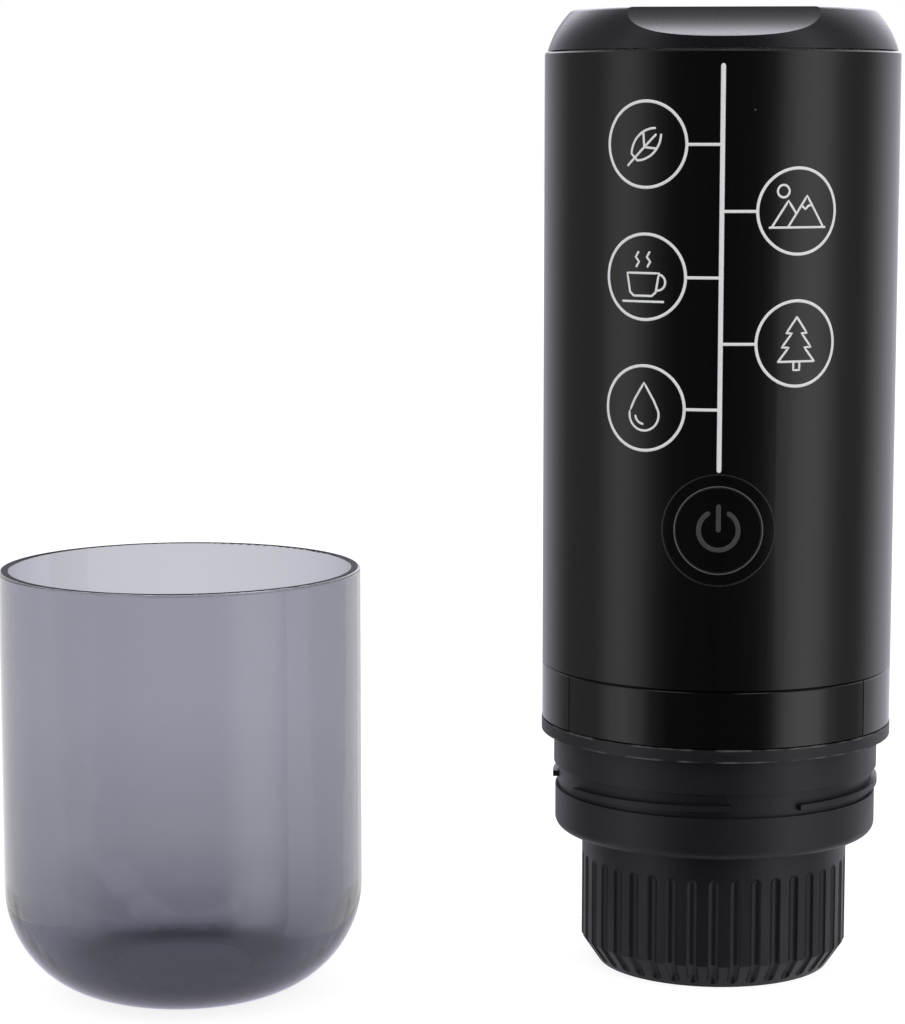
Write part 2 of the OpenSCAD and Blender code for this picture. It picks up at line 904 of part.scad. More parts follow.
// Pump barrel on its foot, with an inlet on top and an outlet at the side
module pump_barrel() {
    color("#cfcfca")
    difference() {
        union() {
            translate([cam_x, 0, pump_z])
                bar_y(barrel_r, barrel_y, barrel_y + pump_len);
            translate([cam_x - barrel_foot / 2, barrel_y + foot_step, well_z])
                cube([barrel_foot, pump_len - 2 * foot_step, pump_z - well_z]);
            translate([cam_x, inlet_y, pump_z])
                cylinder(r = nipple_r, h = barrel_r + inlet_h);
            translate([cam_x, outlet_y, pump_z])
                rotate([0, 90, 0])
                    cylinder(r = nipple_r, h = barrel_r + outlet_h);
        }
        translate([cam_x, 0, pump_z])
            bar_y(plunger_r + run, barrel_y - cut, barrel_y + pump_len + cut);
        translate([cam_x, inlet_y, pump_z])
            cylinder(r = nipple_r - nipple_wall, h = barrel_r + inlet_h + cut);
        translate([cam_x, outlet_y, pump_z])
            rotate([0, 90, 0])
                cylinder(r = nipple_r - nipple_wall, h = barrel_r + outlet_h + cut);
    }
}

module barrel_plug() {
    end = barrel_y + pump_len;
    color("#b9863f")
    translate([cam_x, 0, pump_z]) {
        bar_y(barrel_r, end, end + plug_t);
        bar_y(plunger_r, end - plug_stem, end + plug_t / 2);
    }
}

module pump_plunger() {
    color("#d0d2d6")
    translate([cam_x, 0, pump_z]) {
        bar_y(spring_r + spring_wire, plunger_tip, plunger_tip + plunger_head);
        bar_y(plunger_r, plunger_tip + plunger_head / 2, barrel_y + plunger_in);
    }
}

// Points and faces of the plunger's return spring, wound along +Y
spring_rings = 8 * spring_turns;
spring_sides = 6;
spring_y0 = plunger_tip + plunger_head + spring_wire;
spring_pitch = (spring_len - 2 * spring_wire) / spring_turns;
echo(spring_least_gap = spring_pitch - 2 * spring_wire);
function spring_point(i, j) =
    let (
        a = 360 * i / 8,
        b = 360 * j / spring_sides,
        r = spring_r + spring_wire * cos(b)
    )
    [r * cos(a), spring_y0 + spring_pitch * i / 8 + spring_wire * sin(b), r * sin(a)];

module plunger_spring() {
    points = [for (i = [0 : spring_rings], j = [0 : spring_sides - 1]) spring_point(i, j)];
    quad = function (i, j) [i * spring_sides + j, i * spring_sides + (j + 1) % spring_sides,
        (i + 1) * spring_sides + (j + 1) % spring_sides, (i + 1) * spring_sides + j];
    sides = [for (i = [0 : spring_rings - 1], j = [0 : spring_sides - 1], k = [0, 1])
        let (q = quad(i, j)) k == 0 ? [q[0], q[1], q[2]] : [q[0], q[2], q[3]]];
    last = spring_rings * spring_sides;
    caps = [for (j = [1 : spring_sides - 2], k = [0, 1])
        k == 0 ? [0, j + 1, j] : [last, last + j, last + j + 1]];
    color("#d8dade")
    translate([cam_x, 0, pump_z])
        polyhedron(points = points, faces = concat(sides, caps));
}

module suction_tube() {
    low = pump_z + barrel_r + push_gap;
    color("#dfe3e6")
    translate([cam_x, inlet_y, low])
        difference() {
            cylinder(r = tube_r, h = heater_z + heater_t - thread_fit - low);
            translate([0, 0, -cut])
                cylinder(r = tube_bore, h = heater_z + heater_t - low + 2 * cut);
        }
}

// A quarter bend in the XY plane, from (radius, 0) to (0, radius)
module bend(r_out, r_in) {
    rotate_extrude(angle = 90)
        translate([bend_r, 0])
            difference() {
                circle(r = r_out, $fn = 48);
                circle(r = r_in, $fn = 48);
            }
}

module pipe(len) {
    rotate([0, 90, 0])
        linear_extrude(len)
            difference() {
                circle(r = tube_r);
                circle(r = tube_bore);
            }
}

// From the pump's outlet along +X, round to -Y, then down onto the brew head
module delivery_tube() {
    x0 = cam_x + barrel_r + push_gap;
    color("#dfe3e6")
    translate([0, 0, pump_z]) {
        translate([x0, outlet_y, 0])
            pipe(-bend_r - x0);
        translate([-bend_r, outlet_y - bend_r, 0])
            bend(tube_r, tube_bore);
        translate([0, bend_r, 0])
            rotate(90)
                pipe(outlet_y - 2 * bend_r);
        translate([0, bend_r, -bend_r])
            rotate([0, -90, 0])
                rotate(-90)
                    bend(tube_r, tube_bore);
        translate([0, 0, -bend_r])
            rotate([0, 90, 0])
                pipe(nipple_top - boss_top - thread_fit);
    }
}

// Brew head: a plate under the collar's web, a boss through it, and a nipple for the delivery tube
module brew_head() {
    color("#2c2c30")
    difference() {
        union() {
            translate([0, 0, head_z])
                cylinder(r = bore_r - head_step, h = head_t);
            translate([0, 0, head_z])
                cylinder(r = boss_r, h = boss_top - head_z);
            translate([0, 0, head_z])
                cylinder(r = nipple_r, h = nipple_top - head_z);
        }
        translate([0, 0, head_z - cut])
            cylinder(r = nipple_r - nipple_wall, h = nipple_top - head_z + 2 * cut);
        translate([0, 0, head_z - cut])
            cylinder(r = screen_r, h = cut + screen_depth);
        on_ring(head_screw_ring, head_screw_angles)
            translate([0, 0, head_z + screen_depth])
                cylinder(r = screw_r + run, h = head_t);
    }
}

module head_screws() {
    color("#9a9da2")
    on_ring(head_screw_ring, head_screw_angles)
        translate([0, 0, well_z])
            screw(web_t + head_bite);
}

// Hollow needle that pierces the capsule
module brew_needle() {
    color("#c4c7cc")
    difference() {
        translate([0, 0, head_z - needle_out])
            union() {
                cylinder(r1 = needle_tip_r, r2 = needle_r, h = needle_len);
                translate([0, 0, needle_len])
                    cylinder(r = needle_r, h = needle_root);
            }
        translate([needle_r - 0.4, 0, head_z - needle_out + 0.7 * needle_len])
            rotate([0, 90, 0])
                cylinder(r = 0.3 * needle_r, h = 2 * needle_r, center = true);
    }
}

// Perforated screen in the brew head's recess, round the needle
module shower_screen() {
    color("#b8bcc2")
    translate([0, 0, head_z + screen_depth - screen_t])
        linear_extrude(screen_t)
            difference() {
                circle(r = screen_r - fit);
                circle(r = needle_r + fit);
                for (row = [1 : 3])
                    on_ring(row * screen_r / 4, [for (i = [1 : 6 * row]) i * 60 / row])
                        circle(r = screen_hole_r, $fn = 24);
            }
}

module brew_gasket() {
    color("#a33b2c")
    rotate_extrude()
        band2d(basket_r - gasket_in, basket_r + basket_wall + gasket_out, gasket_z, head_z);
}

// Slope of the base chamfer from upright, and the place where a flute's axis bends to follow it
chamfer_deg = atan((cap_r - base_r) / base_chamfer_h);
flute_off = flute_r - flute_depth;
flute_half = sqrt(pow(flute_r, 2) - pow(flute_off, 2));
knee_z = base_chamfer_h - flute_off * tan(chamfer_deg / 2);
flute_foot = (knee_z + flute_off * sin(chamfer_deg)) / cos(chamfer_deg) - foot_strip - flute_half;

// One flute: a round ended groove down the grip that bends in along the base chamfer
module flute_cutter() {
    translate([cap_r + flute_off, 0, knee_z]) {
        cylinder(r = flute_r, h = cap_h - neck_h - flute_half - knee_z);
        translate([0, 0, cap_h - neck_h - flute_half - knee_z])
            sphere(r = flute_r);
        sphere(r = flute_r);
        rotate([0, 180 + chamfer_deg, 0]) {
            cylinder(r = flute_r, h = flute_foot);
            translate([0, 0, flute_foot])
                sphere(r = flute_r);
        }
    }
}

// Fluted brew cap: the foot of the machine, a grip, and the holder of the capsule basket
module brew_cap() {
    rim_r = basket_r + basket_wall + basket_lip;
    seat_z = spigot_top - basket_rim;
    spigot_r = bore_r - thread_fit;
    color("#29292d")
    difference() {
        rotate_extrude()
            polygon([
                [0, 0], [base_r, 0], [cap_r, base_chamfer_h], [cap_r, cap_h - seam],
                [spigot_r, cap_h - seam], [spigot_r, spigot_top], [rim_r + thread_fit, spigot_top],
                [rim_r + thread_fit, seat_z], [spigot_r - spigot_wall, seat_z],
                [spigot_r - spigot_wall, cap_floor + floor_bevel],
                [spigot_r - spigot_wall - floor_bevel, cap_floor],
                [0, cap_floor]
            ]);
        for (i = [0 : flute_count - 1])
            rotate(i * 360 / flute_count)
                flute_cutter();
        on_ring(outlet_ring, [for (i = [0 : 5]) i * 60])
            translate([0, 0, -cut])
                cylinder(r = outlet_r, h = cap_floor + 2 * cut);
    }
}

// Basket for one capsule, hung by its rim in the brew cap
module capsule_basket() {
    rim_r = basket_r + basket_wall + basket_lip;
    floor_z = spigot_top - basket_depth;
        color("#8e9196")
    difference() {
        rotate_extrude()
            polygon([
                [0, floor_z - basket_wall], [basket_foot_r, floor_z - basket_wall],
                [basket_foot_r + basket_wall, floor_z],
                [basket_r + basket_wall, spigot_top - basket_rim - basket_neck],
                [basket_r + basket_wall, spigot_top - basket_rim], [rim_r, spigot_top - basket_rim],
                [rim_r, spigot_top], [basket_r, spigot_top], [basket_r, spigot_top - basket_neck],
                [basket_foot_r, floor_z], [0, floor_z]
            ]);
        for (row = [0 : 2])
            on_ring(row * basket_pitch, [for (i = [1 : max(1, 6 * row)]) i * 60 / max(1, row)])
                translate([0, 0, floor_z - basket_wall - cut])
                    cylinder(r = basket_hole_r, h = basket_wall + 2 * cut, $fn = 24);
    }
}

// Centre of the lid wall's arc, from its two ends
lid_chord = [lid_top_r - lid_r, lid_h];
lid_reach = sqrt(pow(lid_arc_r, 2) - pow(norm(lid_chord) / 2, 2));
lid_arc_x = (lid_top_r + lid_r) / 2 - lid_reach * lid_chord[1] / norm(lid_chord);
lid_arc_z = lid_h / 2 + lid_reach * lid_chord[0] / norm(lid_chord);
// Centre of the rounding of the lid's top edge, and its height where it meets the wall
edge_z = lid_h - lid_edge;
edge_x = lid_arc_x + sqrt(pow(lid_arc_r - lid_edge, 2) - pow(edge_z - lid_arc_z, 2));
edge_low = lid_arc_z + (edge_z - lid_arc_z) * lid_arc_r / (lid_arc_r - lid_edge);
plug_r = mouth_r - thread_fit;
plug_in = 3.4;
plug_web = 2.2;
seal_gap = 1;
seal_r0 = mouth_r + seal_gap;
seal_w = 3;
seal_depth = 0.9;

// Lower edge of the thumb scoop on the lid wall
scoop_y = -lid_arc_x - sqrt(pow(lid_arc_r, 2) - pow(scoop_z - lid_arc_z, 2));

module thumb_scoop() {
    half = (lid_h - scoop_z) / sin(scoop_deg) / 2;
    translate([0, scoop_y, lid_z + scoop_z])
        rotate([scoop_deg, 0, 0])
            translate([0, half, sqrt(pow(scoop_r, 2) - pow(half, 2))])
                rotate([0, 90, 0])
                    cylinder(r = scoop_r, h = body_d, center = true);
}

// Lid: a curved wall, a flat top, a thumb scoop at the front, and a socket for its plug
module lid_shell() {
    color("#2b2b31")
    difference() {
        translate([0, 0, lid_z])
            rotate_extrude()
                difference() {
                    union() {
                        intersection() {
                            translate([lid_arc_x, lid_arc_z])
                                circle(r = lid_arc_r, $fn = 128);
                            band2d(0, body_d, 0, edge_low);
                        }
                        band2d(0, edge_x, 0, lid_h);
                        translate([edge_x, edge_z])
                            circle(r = lid_edge, $fn = 48);
                    }
                    band2d(-cut, plug_r + run, -cut, plug_in);
                    band2d(seal_r0 - run, seal_r0 + seal_w + run, -cut, seal_depth);
                }
        thumb_scoop();
    }
}

module lid_plug() {
    color("#1d1d20")
    rotate_extrude()
        difference() {
            band2d(0, plug_r, tube_top - plug_drop, lid_z + plug_in);
            band2d(-cut, plug_r - plug_wall, tube_top - plug_drop - cut, lid_z + plug_in - plug_web);
        }
}

module lid_seal() {
    color("#c7c7c2")
    rotate_extrude()
        band2d(seal_r0, seal_r0 + seal_w, ring_top + seam, lid_z + seal_depth);
}

// Clear cup that stands beside the machine, with a deep rounded corner and a thick floor
module cup() {
    inner = cup_corner - cup_wall;
    color("#8f90a0", 0.6)
    translate([-cup_left, -cup_front, 0])
        rotate_extrude()
            difference() {
                union() {
                    band2d(0, body_r - cup_corner, 0, cup_h);
                    band2d(0, body_r, cup_corner, cup_h - cup_lip);
                    band2d(0, body_r - cup_lip, cup_corner, cup_h);
                    translate([body_r - cup_lip, cup_h - cup_lip])
                        circle(r = cup_lip, $fn = 32);
                    intersection() {
                        translate([body_r - cup_corner, cup_corner])
                            circle(r = cup_corner, $fn = 128);
                        band2d(0, body_r, 0, cup_h);
                    }
                }
                band2d(-cut, body_r - cup_wall, cup_corner + cup_floor - cup_wall, cup_h + cut);
                band2d(-cut, body_r - cup_corner, cup_floor, cup_h + cut);
                intersection() {
                    translate([body_r - cup_corner, inner + cup_floor])
                        circle(r = inner, $fn = 128);
                    band2d(0, body_r, 0, cup_h);
                }
            }
}

body_tube();
band_ring();
front_panel();
collar();
top_ring();
tank_gasket();
water_tank();
tank_cradle();
heater_plate();
temperature_sensor();
battery_cells();
cell_tabs();
chassis_posts();
post_screws();
pump_deck();
deck_screws();
main_board();
switch_case();
button_bezel();
light_ring();
power_button();
switch_pin();
charge_board();
usb_socket();
motor_can();
motor_end_cap();
motor_shaft();
pinion();
cam_gear();
cam_pin();
pump_barrel();
barrel_plug();
pump_plunger();
plunger_spring();
suction_tube();
delivery_tube();
brew_head();
head_screws();
brew_needle();
shower_screen();
brew_gasket();
brew_cap();
capsule_basket();
lid_shell();
lid_plug();
lid_seal();
cup();
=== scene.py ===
# %% [markdown]
# # A portable coffee machine and its cup
# The machine is an upright black tube with a screw lid, a round power button, a glossy band, a threaded collar and a
# fluted brew cap. Its smoked cup stands beside it. The solid pieces come from the CAD model as a fixed frame, so this
# lesson is about what the solids lack: finishes, printed lines, small raised edges, light and a camera.

# %% Load the frame
import json
import math

import bmesh
import bpy
from mathutils import Matrix, Vector


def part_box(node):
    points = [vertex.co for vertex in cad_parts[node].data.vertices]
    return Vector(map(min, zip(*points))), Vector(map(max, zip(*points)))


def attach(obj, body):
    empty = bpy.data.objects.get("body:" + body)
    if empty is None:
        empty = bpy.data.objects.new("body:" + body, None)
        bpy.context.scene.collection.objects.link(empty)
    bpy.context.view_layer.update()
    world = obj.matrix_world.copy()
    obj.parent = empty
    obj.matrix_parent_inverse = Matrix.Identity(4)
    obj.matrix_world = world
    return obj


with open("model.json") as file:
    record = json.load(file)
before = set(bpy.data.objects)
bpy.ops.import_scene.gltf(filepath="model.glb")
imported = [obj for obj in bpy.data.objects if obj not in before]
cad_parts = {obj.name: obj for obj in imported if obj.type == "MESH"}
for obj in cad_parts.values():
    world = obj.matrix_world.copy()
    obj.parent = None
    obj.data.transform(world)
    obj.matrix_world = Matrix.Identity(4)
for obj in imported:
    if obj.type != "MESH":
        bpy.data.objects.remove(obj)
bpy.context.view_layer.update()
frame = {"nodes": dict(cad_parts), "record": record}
MM = 0.001

# %% [markdown]
# ## Camera
# A catalogue picture is taken from far away with a long lens, so that upright edges stay almost parallel. The camera
# stands 62 cm in front of the machine and looks a little down and to the left, so that the cup is in the picture too
# and its mouth can be seen. The picture is taller than wide, so Blender's 36 mm sensor width is the frame's height.

# %% Camera
PICTURE_HEIGHT_PX = 1024
FOCAL_PX = 3031
SENSOR_MM = 36
CAMERA_PLACE = (-4.7 * MM, -624 * MM, 176 * MM)
DEGREES_DOWN, DEGREES_LEFT = 7.5, 4.6
camera = bpy.data.objects.new("camera", bpy.data.cameras.new("camera"))
bpy.context.collection.objects.link(camera)
camera.data.sensor_width = SENSOR_MM
camera.data.lens = FOCAL_PX * SENSOR_MM / PICTURE_HEIGHT_PX
camera.location = CAMERA_PLACE
camera.rotation_euler = (math.radians(90 - DEGREES_DOWN), 0, math.radians(DEGREES_LEFT))
bpy.context.scene.camera = camera
bpy.context.scene.view_settings.view_transform = "Standard"
print("lens of", round(camera.data.lens, 1), "mm")

# %% [markdown]
# ## Floor
# The studio is white. A floor that only reflected the lamps would turn grey in the distance, so it also glows for the
# rays that see it directly or through the cup. The rest of its colour is plain diffuse, which is where the soft shadow
# of the object falls. The paper under and near a smoked cup gets little light, so the glow that the cup shows is
# painted darker there: a painted shadow under the cup and painted shade round it, which lightens further off.
# Mirrored rays pass through the floor, because black gloss would show it as a grey veil. They only meet the paper close
# to the cup, which the cup's round corner mirrors. Light Path tells all these rays apart.

# %% Floor sheet
FLOOR_HALF = 6


def as_object(name, shape):
    """A finished shape as a mesh object of the scene."""
    data = bpy.data.meshes.new(name)
    shape.to_mesh(data)
    shape.free()
    thing = bpy.data.objects.new(name, data)
    bpy.context.collection.objects.link(thing)
    return thing


floor_mesh = bmesh.new()
bmesh.ops.create_grid(floor_mesh, x_segments=1, y_segments=1, size=FLOOR_HALF)
floor = as_object("floor", floor_mesh)
print("floor of", 2 * FLOOR_HALF, "m")


# %% Node helpers
def joined(tree, source, target):
    """One link of a node tree, from an output to an input."""
    tree.links.new(target, source)


def reckoned(tree, operation, *values):
    """A Math node of values that are sockets or numbers."""
    node = tree.nodes.new("ShaderNodeMath")
    node.operation = operation
    for socket, value in zip(node.inputs, values):
        if isinstance(value, (int, float)):
            socket.default_value = value
        else:
            joined(tree, value, socket)
    return node.outputs[0]


def in_mirror(tree, path):
    """1 for a mirrored ray. Refraction counts as glossy too, so rays that came through the cup are taken out."""
    clear = reckoned(tree, "SUBTRACT", 1, path["Is Transmission Ray"])
    return reckoned(tree, "MULTIPLY", path["Is Glossy Ray"], clear)


def spread(tree, source, low, high, to_low=0.0, to_high=1.0, soft=False):
    """A value stretched from one range to another, and kept inside it."""
    node = tree.nodes.new("ShaderNodeMapRange")
    node.interpolation_type = "SMOOTHSTEP" if soft else "LINEAR"
    for label, value in (("From Min", low), ("From Max", high), ("To Min", to_low), ("To Max", to_high)):
        node.inputs[label].default_value = value
    joined(tree, source, node.inputs["Value"])
    return node.outputs["Result"]


def toned(tree, factor, first, second):
    """A colour between two tones, each a socket or a plain colour."""
    node = tree.nodes.new("ShaderNodeMix")
    node.data_type = "RGBA"
    joined(tree, factor, node.inputs["Factor"])
    for label, value in (("A", first), ("B", second)):
        socket = [s for s in node.inputs if s.name == label and s.type == "RGBA"][0]
        if isinstance(value, tuple):
            socket.default_value = (*value, 1)
        else:
            joined(tree, value, socket)
    return [s for s in node.outputs if s.type == "RGBA"][0]


def away(tree, source, centre):
    """How far a point or a direction is from a centre."""
    node = tree.nodes.new("ShaderNodeVectorMath")
    node.operation = "DISTANCE"
    node.inputs[1].default_value = centre
    joined(tree, source, node.inputs[0])
    return node.outputs["Value"]


def graded(tree, source, stops):
    """A colour that runs along a value through stops of (position, colour), in order."""
    node = tree.nodes.new("ShaderNodeValToRGB")
    joined(tree, source, node.inputs["Fac"])
    while len(node.color_ramp.elements) < len(stops):
        node.color_ramp.elements.new(1)
    for stop, (position, colour) in zip(node.color_ramp.elements, stops):
        stop.position = position
        stop.color = (*colour, 1)
    return node.outputs["Color"]


# %% White paper
CUP_MIDDLE = [(low + high) / 2 for low, high in zip(*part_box("cup"))][:2]
PAPER_GREY = 0.34
GLOW_IN_VIEW, GLOW_IN_CORNER = 0.84, 0.75
# Glow levels seen through the cup: the painted shadow under it, the painted shade round it, and how far that lightens.
GLOW_UNDER_CUP, GLOW_ROUND_CUP, GLOW_FAR_OFF = 0.02, 0.48, 0.25
CORNER_TINT = (0.93, 0.92, 1.12)
paper = bpy.data.materials.new("white_paper")
paper.use_nodes = True
paper_tree = paper.node_tree
paper_shader = paper_tree.nodes["Principled BSDF"]
paper_shader.inputs["Base Color"].default_value = (PAPER_GREY, PAPER_GREY, PAPER_GREY, 1)
paper_shader.inputs["Roughness"].default_value = 1
paper_shader.inputs["Specular IOR Level"].default_value = 0
paper_path = paper_tree.nodes.new("ShaderNodeLightPath").outputs
on_paper = paper_tree.nodes.new("ShaderNodeTexCoord").outputs["Object"]
from_cup = away(paper_tree, on_paper, (*CUP_MIDDLE, 0))
# Painted shadow: the glow seen through the cup is low under it and rises towards the edge of its base.
painted_cup_shadow = spread(paper_tree, from_cup, 20 * MM, 37 * MM, GLOW_UNDER_CUP, GLOW_ROUND_CUP, soft=True)
# Painted shade round the cup, which lightens from 85 mm to 300 mm away.
painted_shade_fade = spread(paper_tree, from_cup, 85 * MM, 300 * MM, 0, GLOW_FAR_OFF)
paper_glow = reckoned(paper_tree, "ADD", painted_cup_shadow, painted_shade_fade)
behind_cup = reckoned(paper_tree, "MULTIPLY", paper_path["Is Transmission Ray"], paper_glow)
in_view = reckoned(paper_tree, "MULTIPLY", paper_path["Is Camera Ray"], GLOW_IN_VIEW)
in_gloss = in_mirror(paper_tree, paper_path)
by_cup = reckoned(paper_tree, "MULTIPLY", in_gloss, spread(paper_tree, from_cup, 50 * MM, 100 * MM, 1, 0, soft=True))
in_corner = reckoned(paper_tree, "MULTIPLY", by_cup, GLOW_IN_CORNER)
seen = reckoned(paper_tree, "ADD", in_view, reckoned(paper_tree, "ADD", behind_cup, in_corner))
joined(paper_tree, seen, paper_shader.inputs["Emission Strength"])
joined(paper_tree, toned(paper_tree, in_gloss, (1, 1, 1), CORNER_TINT), paper_shader.inputs["Emission Color"])
skipped = paper_tree.nodes.new("ShaderNodeMixShader")
joined(paper_tree, reckoned(paper_tree, "SUBTRACT", in_gloss, by_cup), skipped.inputs[0])
joined(paper_tree, paper_shader.outputs[0], skipped.inputs[1])
joined(paper_tree, paper_tree.nodes.new("ShaderNodeBsdfTransparent").outputs[0], skipped.inputs[2])
joined(paper_tree, skipped.outputs[0], paper_tree.nodes["Material Output"].inputs["Surface"])
floor.data.materials.append(paper)
print("paper darkens under the cup, at", [round(v, 3) for v in CUP_MIDDLE])

# %% [markdown]
# ## Studio light
# Black gloss shows its surroundings more than its own colour: what looks like shading on the tube is a mirror image of
# the room, bent round it. So the room is drawn as a strip of brightness round the compass, with 0 degrees behind the
# camera and 180 at the backdrop. A narrow window on the left and a broad one on the right make the two upright
# highlights, the cool white backdrop makes the bright edges, and the dark room behind the camera keeps the middle
# black. The windows fade towards the ceiling, so the lid's sloping front, which mirrors what is high up, stays dark.
# High behind the object hangs a soft light, which the hollow of the lid's scoop mirrors. A black flag, low behind it,
# keeps the cup's rim dark. Rays that only light things see an even sky instead.

# %% Room
ROOM = [
    (-180, 0.75), (-158, 0.74), (-142, 0.66), (-130, 0.50), (-116, 0.24), (-100, 0.28), (-84, 0.34), (-72, 0.85),
    (-62, 1.0), (-52, 0.72), (-43, 0.22), (-31, 0.05), (0, 0.03), (27, 0.05), (36, 0.20), (46, 1.05),
    (58, 1.45), (70, 1.25), (79, 0.55), (90, 0.30), (106, 0.26), (118, 0.65), (132, 1.0), (180, 0.9),
]
COOL, COOL_FROM, COOL_TO = (0.96, 0.955, 1.09), 0.2, 0.9
WINDOW_FADE = 0.6
HUNG_LAMP, HUNG_LAMP_LEVEL = (0, 0.82, 0.57), 2.6
BLACK_FLAG, BLACK_FLAG_LEVEL = (-0.168, 0.974, 0.15), 0.03
world = bpy.data.worlds.new("studio")
bpy.context.scene.world = world
world.use_nodes = True
sky = world.node_tree
looking = sky.nodes.new("ShaderNodeTexCoord").outputs["Generated"]
axes = sky.nodes.new("ShaderNodeSeparateXYZ")
joined(sky, looking, axes.inputs[0])
compass = reckoned(sky, "ARCTAN2", axes.outputs["X"], reckoned(sky, "MULTIPLY", axes.outputs["Y"], -1))
# A ramp's colours end at 1, so it holds half of each level.
half_levels = [((degrees + 180) / 360, (level / 2, level / 2, level / 2)) for degrees, level in ROOM]
walls = graded(sky, spread(sky, compass, -math.pi, math.pi), half_levels)
high_up = spread(sky, axes.outputs["Z"], 0.25, 0.65, 0, 2 * WINDOW_FADE)
on_windows = spread(sky, axes.outputs["Y"], -0.5, -0.1, 1, 0)
doubled = reckoned(sky, "SUBTRACT", 2, reckoned(sky, "MULTIPLY", high_up, on_windows))
wall_level = reckoned(sky, "MULTIPLY", walls, doubled)
hung_lamp = spread(sky, away(sky, looking, HUNG_LAMP), 0.2, 0.7, HUNG_LAMP_LEVEL, 0, soft=True)
black_flag = spread(sky, away(sky, looking, BLACK_FLAG), 0.03, 0.16, BLACK_FLAG_LEVEL, 1, soft=True)
room_level = reckoned(sky, "MULTIPLY", reckoned(sky, "ADD", wall_level, hung_lamp), black_flag)
print("room of", len(ROOM), "stops")

# %% Sky
SKY_LIGHT = 0.95
background = sky.nodes["Background"]
sky_path = sky.nodes.new("ShaderNodeLightPath").outputs
mirrored = in_mirror(sky, sky_path)
room_share = reckoned(sky, "MULTIPLY", mirrored, reckoned(sky, "SUBTRACT", room_level, SKY_LIGHT))
clear = reckoned(sky, "MAXIMUM", sky_path["Is Camera Ray"], sky_path["Is Transmission Ray"])
clear_share = reckoned(sky, "MULTIPLY", clear, 1 - SKY_LIGHT)
sky_level = reckoned(sky, "ADD", SKY_LIGHT, reckoned(sky, "ADD", room_share, clear_share))
cool_share = reckoned(sky, "MULTIPLY", mirrored, spread(sky, axes.outputs["Y"], COOL_FROM, COOL_TO))
joined(sky, toned(sky, cool_share, (1, 1, 1), COOL), background.inputs["Color"])
joined(sky, sky_level, background.inputs["Strength"])
print("sky lights at", SKY_LIGHT)


# %% Lamps
def softbox(name, place, aim, width, height, radiance):
    """A rectangular lamp that looks from place to aim, given by the brightness of its face. Mirrors don't show it."""
    lamp = bpy.data.lights.new(name, "AREA")
    lamp.shape = "RECTANGLE"
    lamp.size, lamp.size_y = width, height
    lamp.energy = radiance * math.pi * width * height
    box = bpy.data.objects.new(name, lamp)
    bpy.context.collection.objects.link(box)
    box.location = place
    box.rotation_euler = (Vector(aim) - Vector(place)).to_track_quat("-Z", "Y").to_euler()
    box.visible_glossy = False


AIM = (-0.03, 0, 0.1)
softbox("left_window", (-0.9, -0.5, 0.7), AIM, 0.6, 0.6, 1.0)
softbox("right_window", (0.85, -0.5, 0.6), AIM, 0.6, 0.8, 1.4)

# %% [markdown]
# Photographers put cards beside clear plastic, to keep dark things out of its mirror image. One card stands between the
# cup and the black machine, and one on the far side of the cup. Only mirrored rays meet them. Their faces towards the
# cup are white. The back of the first has the tones of the room in the places where the tube mirrors them, so the tube
# shows the room there and not the cup.

# %% Cards
CARD_X, CARD_Y, CARD_HALF = -55 * MM, 18 * MM, 80 * MM
LEFT_CARD_X, LEFT_CARD_Y = -175 * MM, -3 * MM
CARD_LOW, CARD_HIGH = -80 * MM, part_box("lid_shell")[0].z
card_mesh = bmesh.new()
for across, along, tilt in ((CARD_X, CARD_Y, -90), (LEFT_CARD_X, LEFT_CARD_Y, 90)):
    spots = bmesh.ops.create_grid(card_mesh, x_segments=1, y_segments=1, size=1)["verts"]
    bmesh.ops.scale(card_mesh, verts=spots, vec=((CARD_HIGH - CARD_LOW) / 2, CARD_HALF, 1))
    bmesh.ops.rotate(card_mesh, verts=spots, matrix=Matrix.Rotation(math.radians(tilt), 3, "Y"))
    bmesh.ops.translate(card_mesh, verts=spots, vec=(across, along, (CARD_LOW + CARD_HIGH) / 2))
card = as_object("card", card_mesh)
card.visible_camera = card.visible_diffuse = card.visible_transmission = card.visible_shadow = False
print("cards are white towards x", [round(side.normal.x) for side in card.data.polygons])

# %% Card paint
CARD_WHITE = 1.2
HIDDEN_FROM, HIDDEN_TO = -160, -50
TUBE_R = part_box("body_tube")[1].x / MM
card_tones = []
for degrees, level in reversed(ROOM):
    if HIDDEN_FROM < degrees < HIDDEN_TO:
        # The tube mirrors a direction where its face has turned half as far; the card is one reach away from there.
        turn = math.radians(-degrees / 2)
        reach = (-CARD_X - TUBE_R * MM * math.sin(turn)) / math.sin(2 * turn)
        place = -TUBE_R * MM * math.cos(turn) - reach * math.cos(2 * turn)
        coolness = min(max((-math.cos(2 * turn) - COOL_FROM) / (COOL_TO - COOL_FROM), 0), 1)
        tone = [level * (1 + coolness * (tint - 1)) for tint in COOL]
        card_tones.append(((place - CARD_Y) / (2 * CARD_HALF) + 0.5, tone))
card_paint = bpy.data.materials.new("card_paint")
card_paint.use_nodes = True
card_tree = card_paint.node_tree
card_tree.nodes.remove(card_tree.nodes["Principled BSDF"])
card_axes = card_tree.nodes.new("ShaderNodeSeparateXYZ")
joined(card_tree, card_tree.nodes.new("ShaderNodeTexCoord").outputs["Object"], card_axes.inputs[0])
along_card = spread(card_tree, card_axes.outputs["Y"], CARD_Y - CARD_HALF, CARD_Y + CARD_HALF)
card_white = card_tree.nodes.new("ShaderNodeEmission")
card_white.inputs["Strength"].default_value = CARD_WHITE
card_toned = card_tree.nodes.new("ShaderNodeEmission")
joined(card_tree, graded(card_tree, along_card, card_tones), card_toned.inputs["Color"])
card_sides = card_tree.nodes.new("ShaderNodeMixShader")
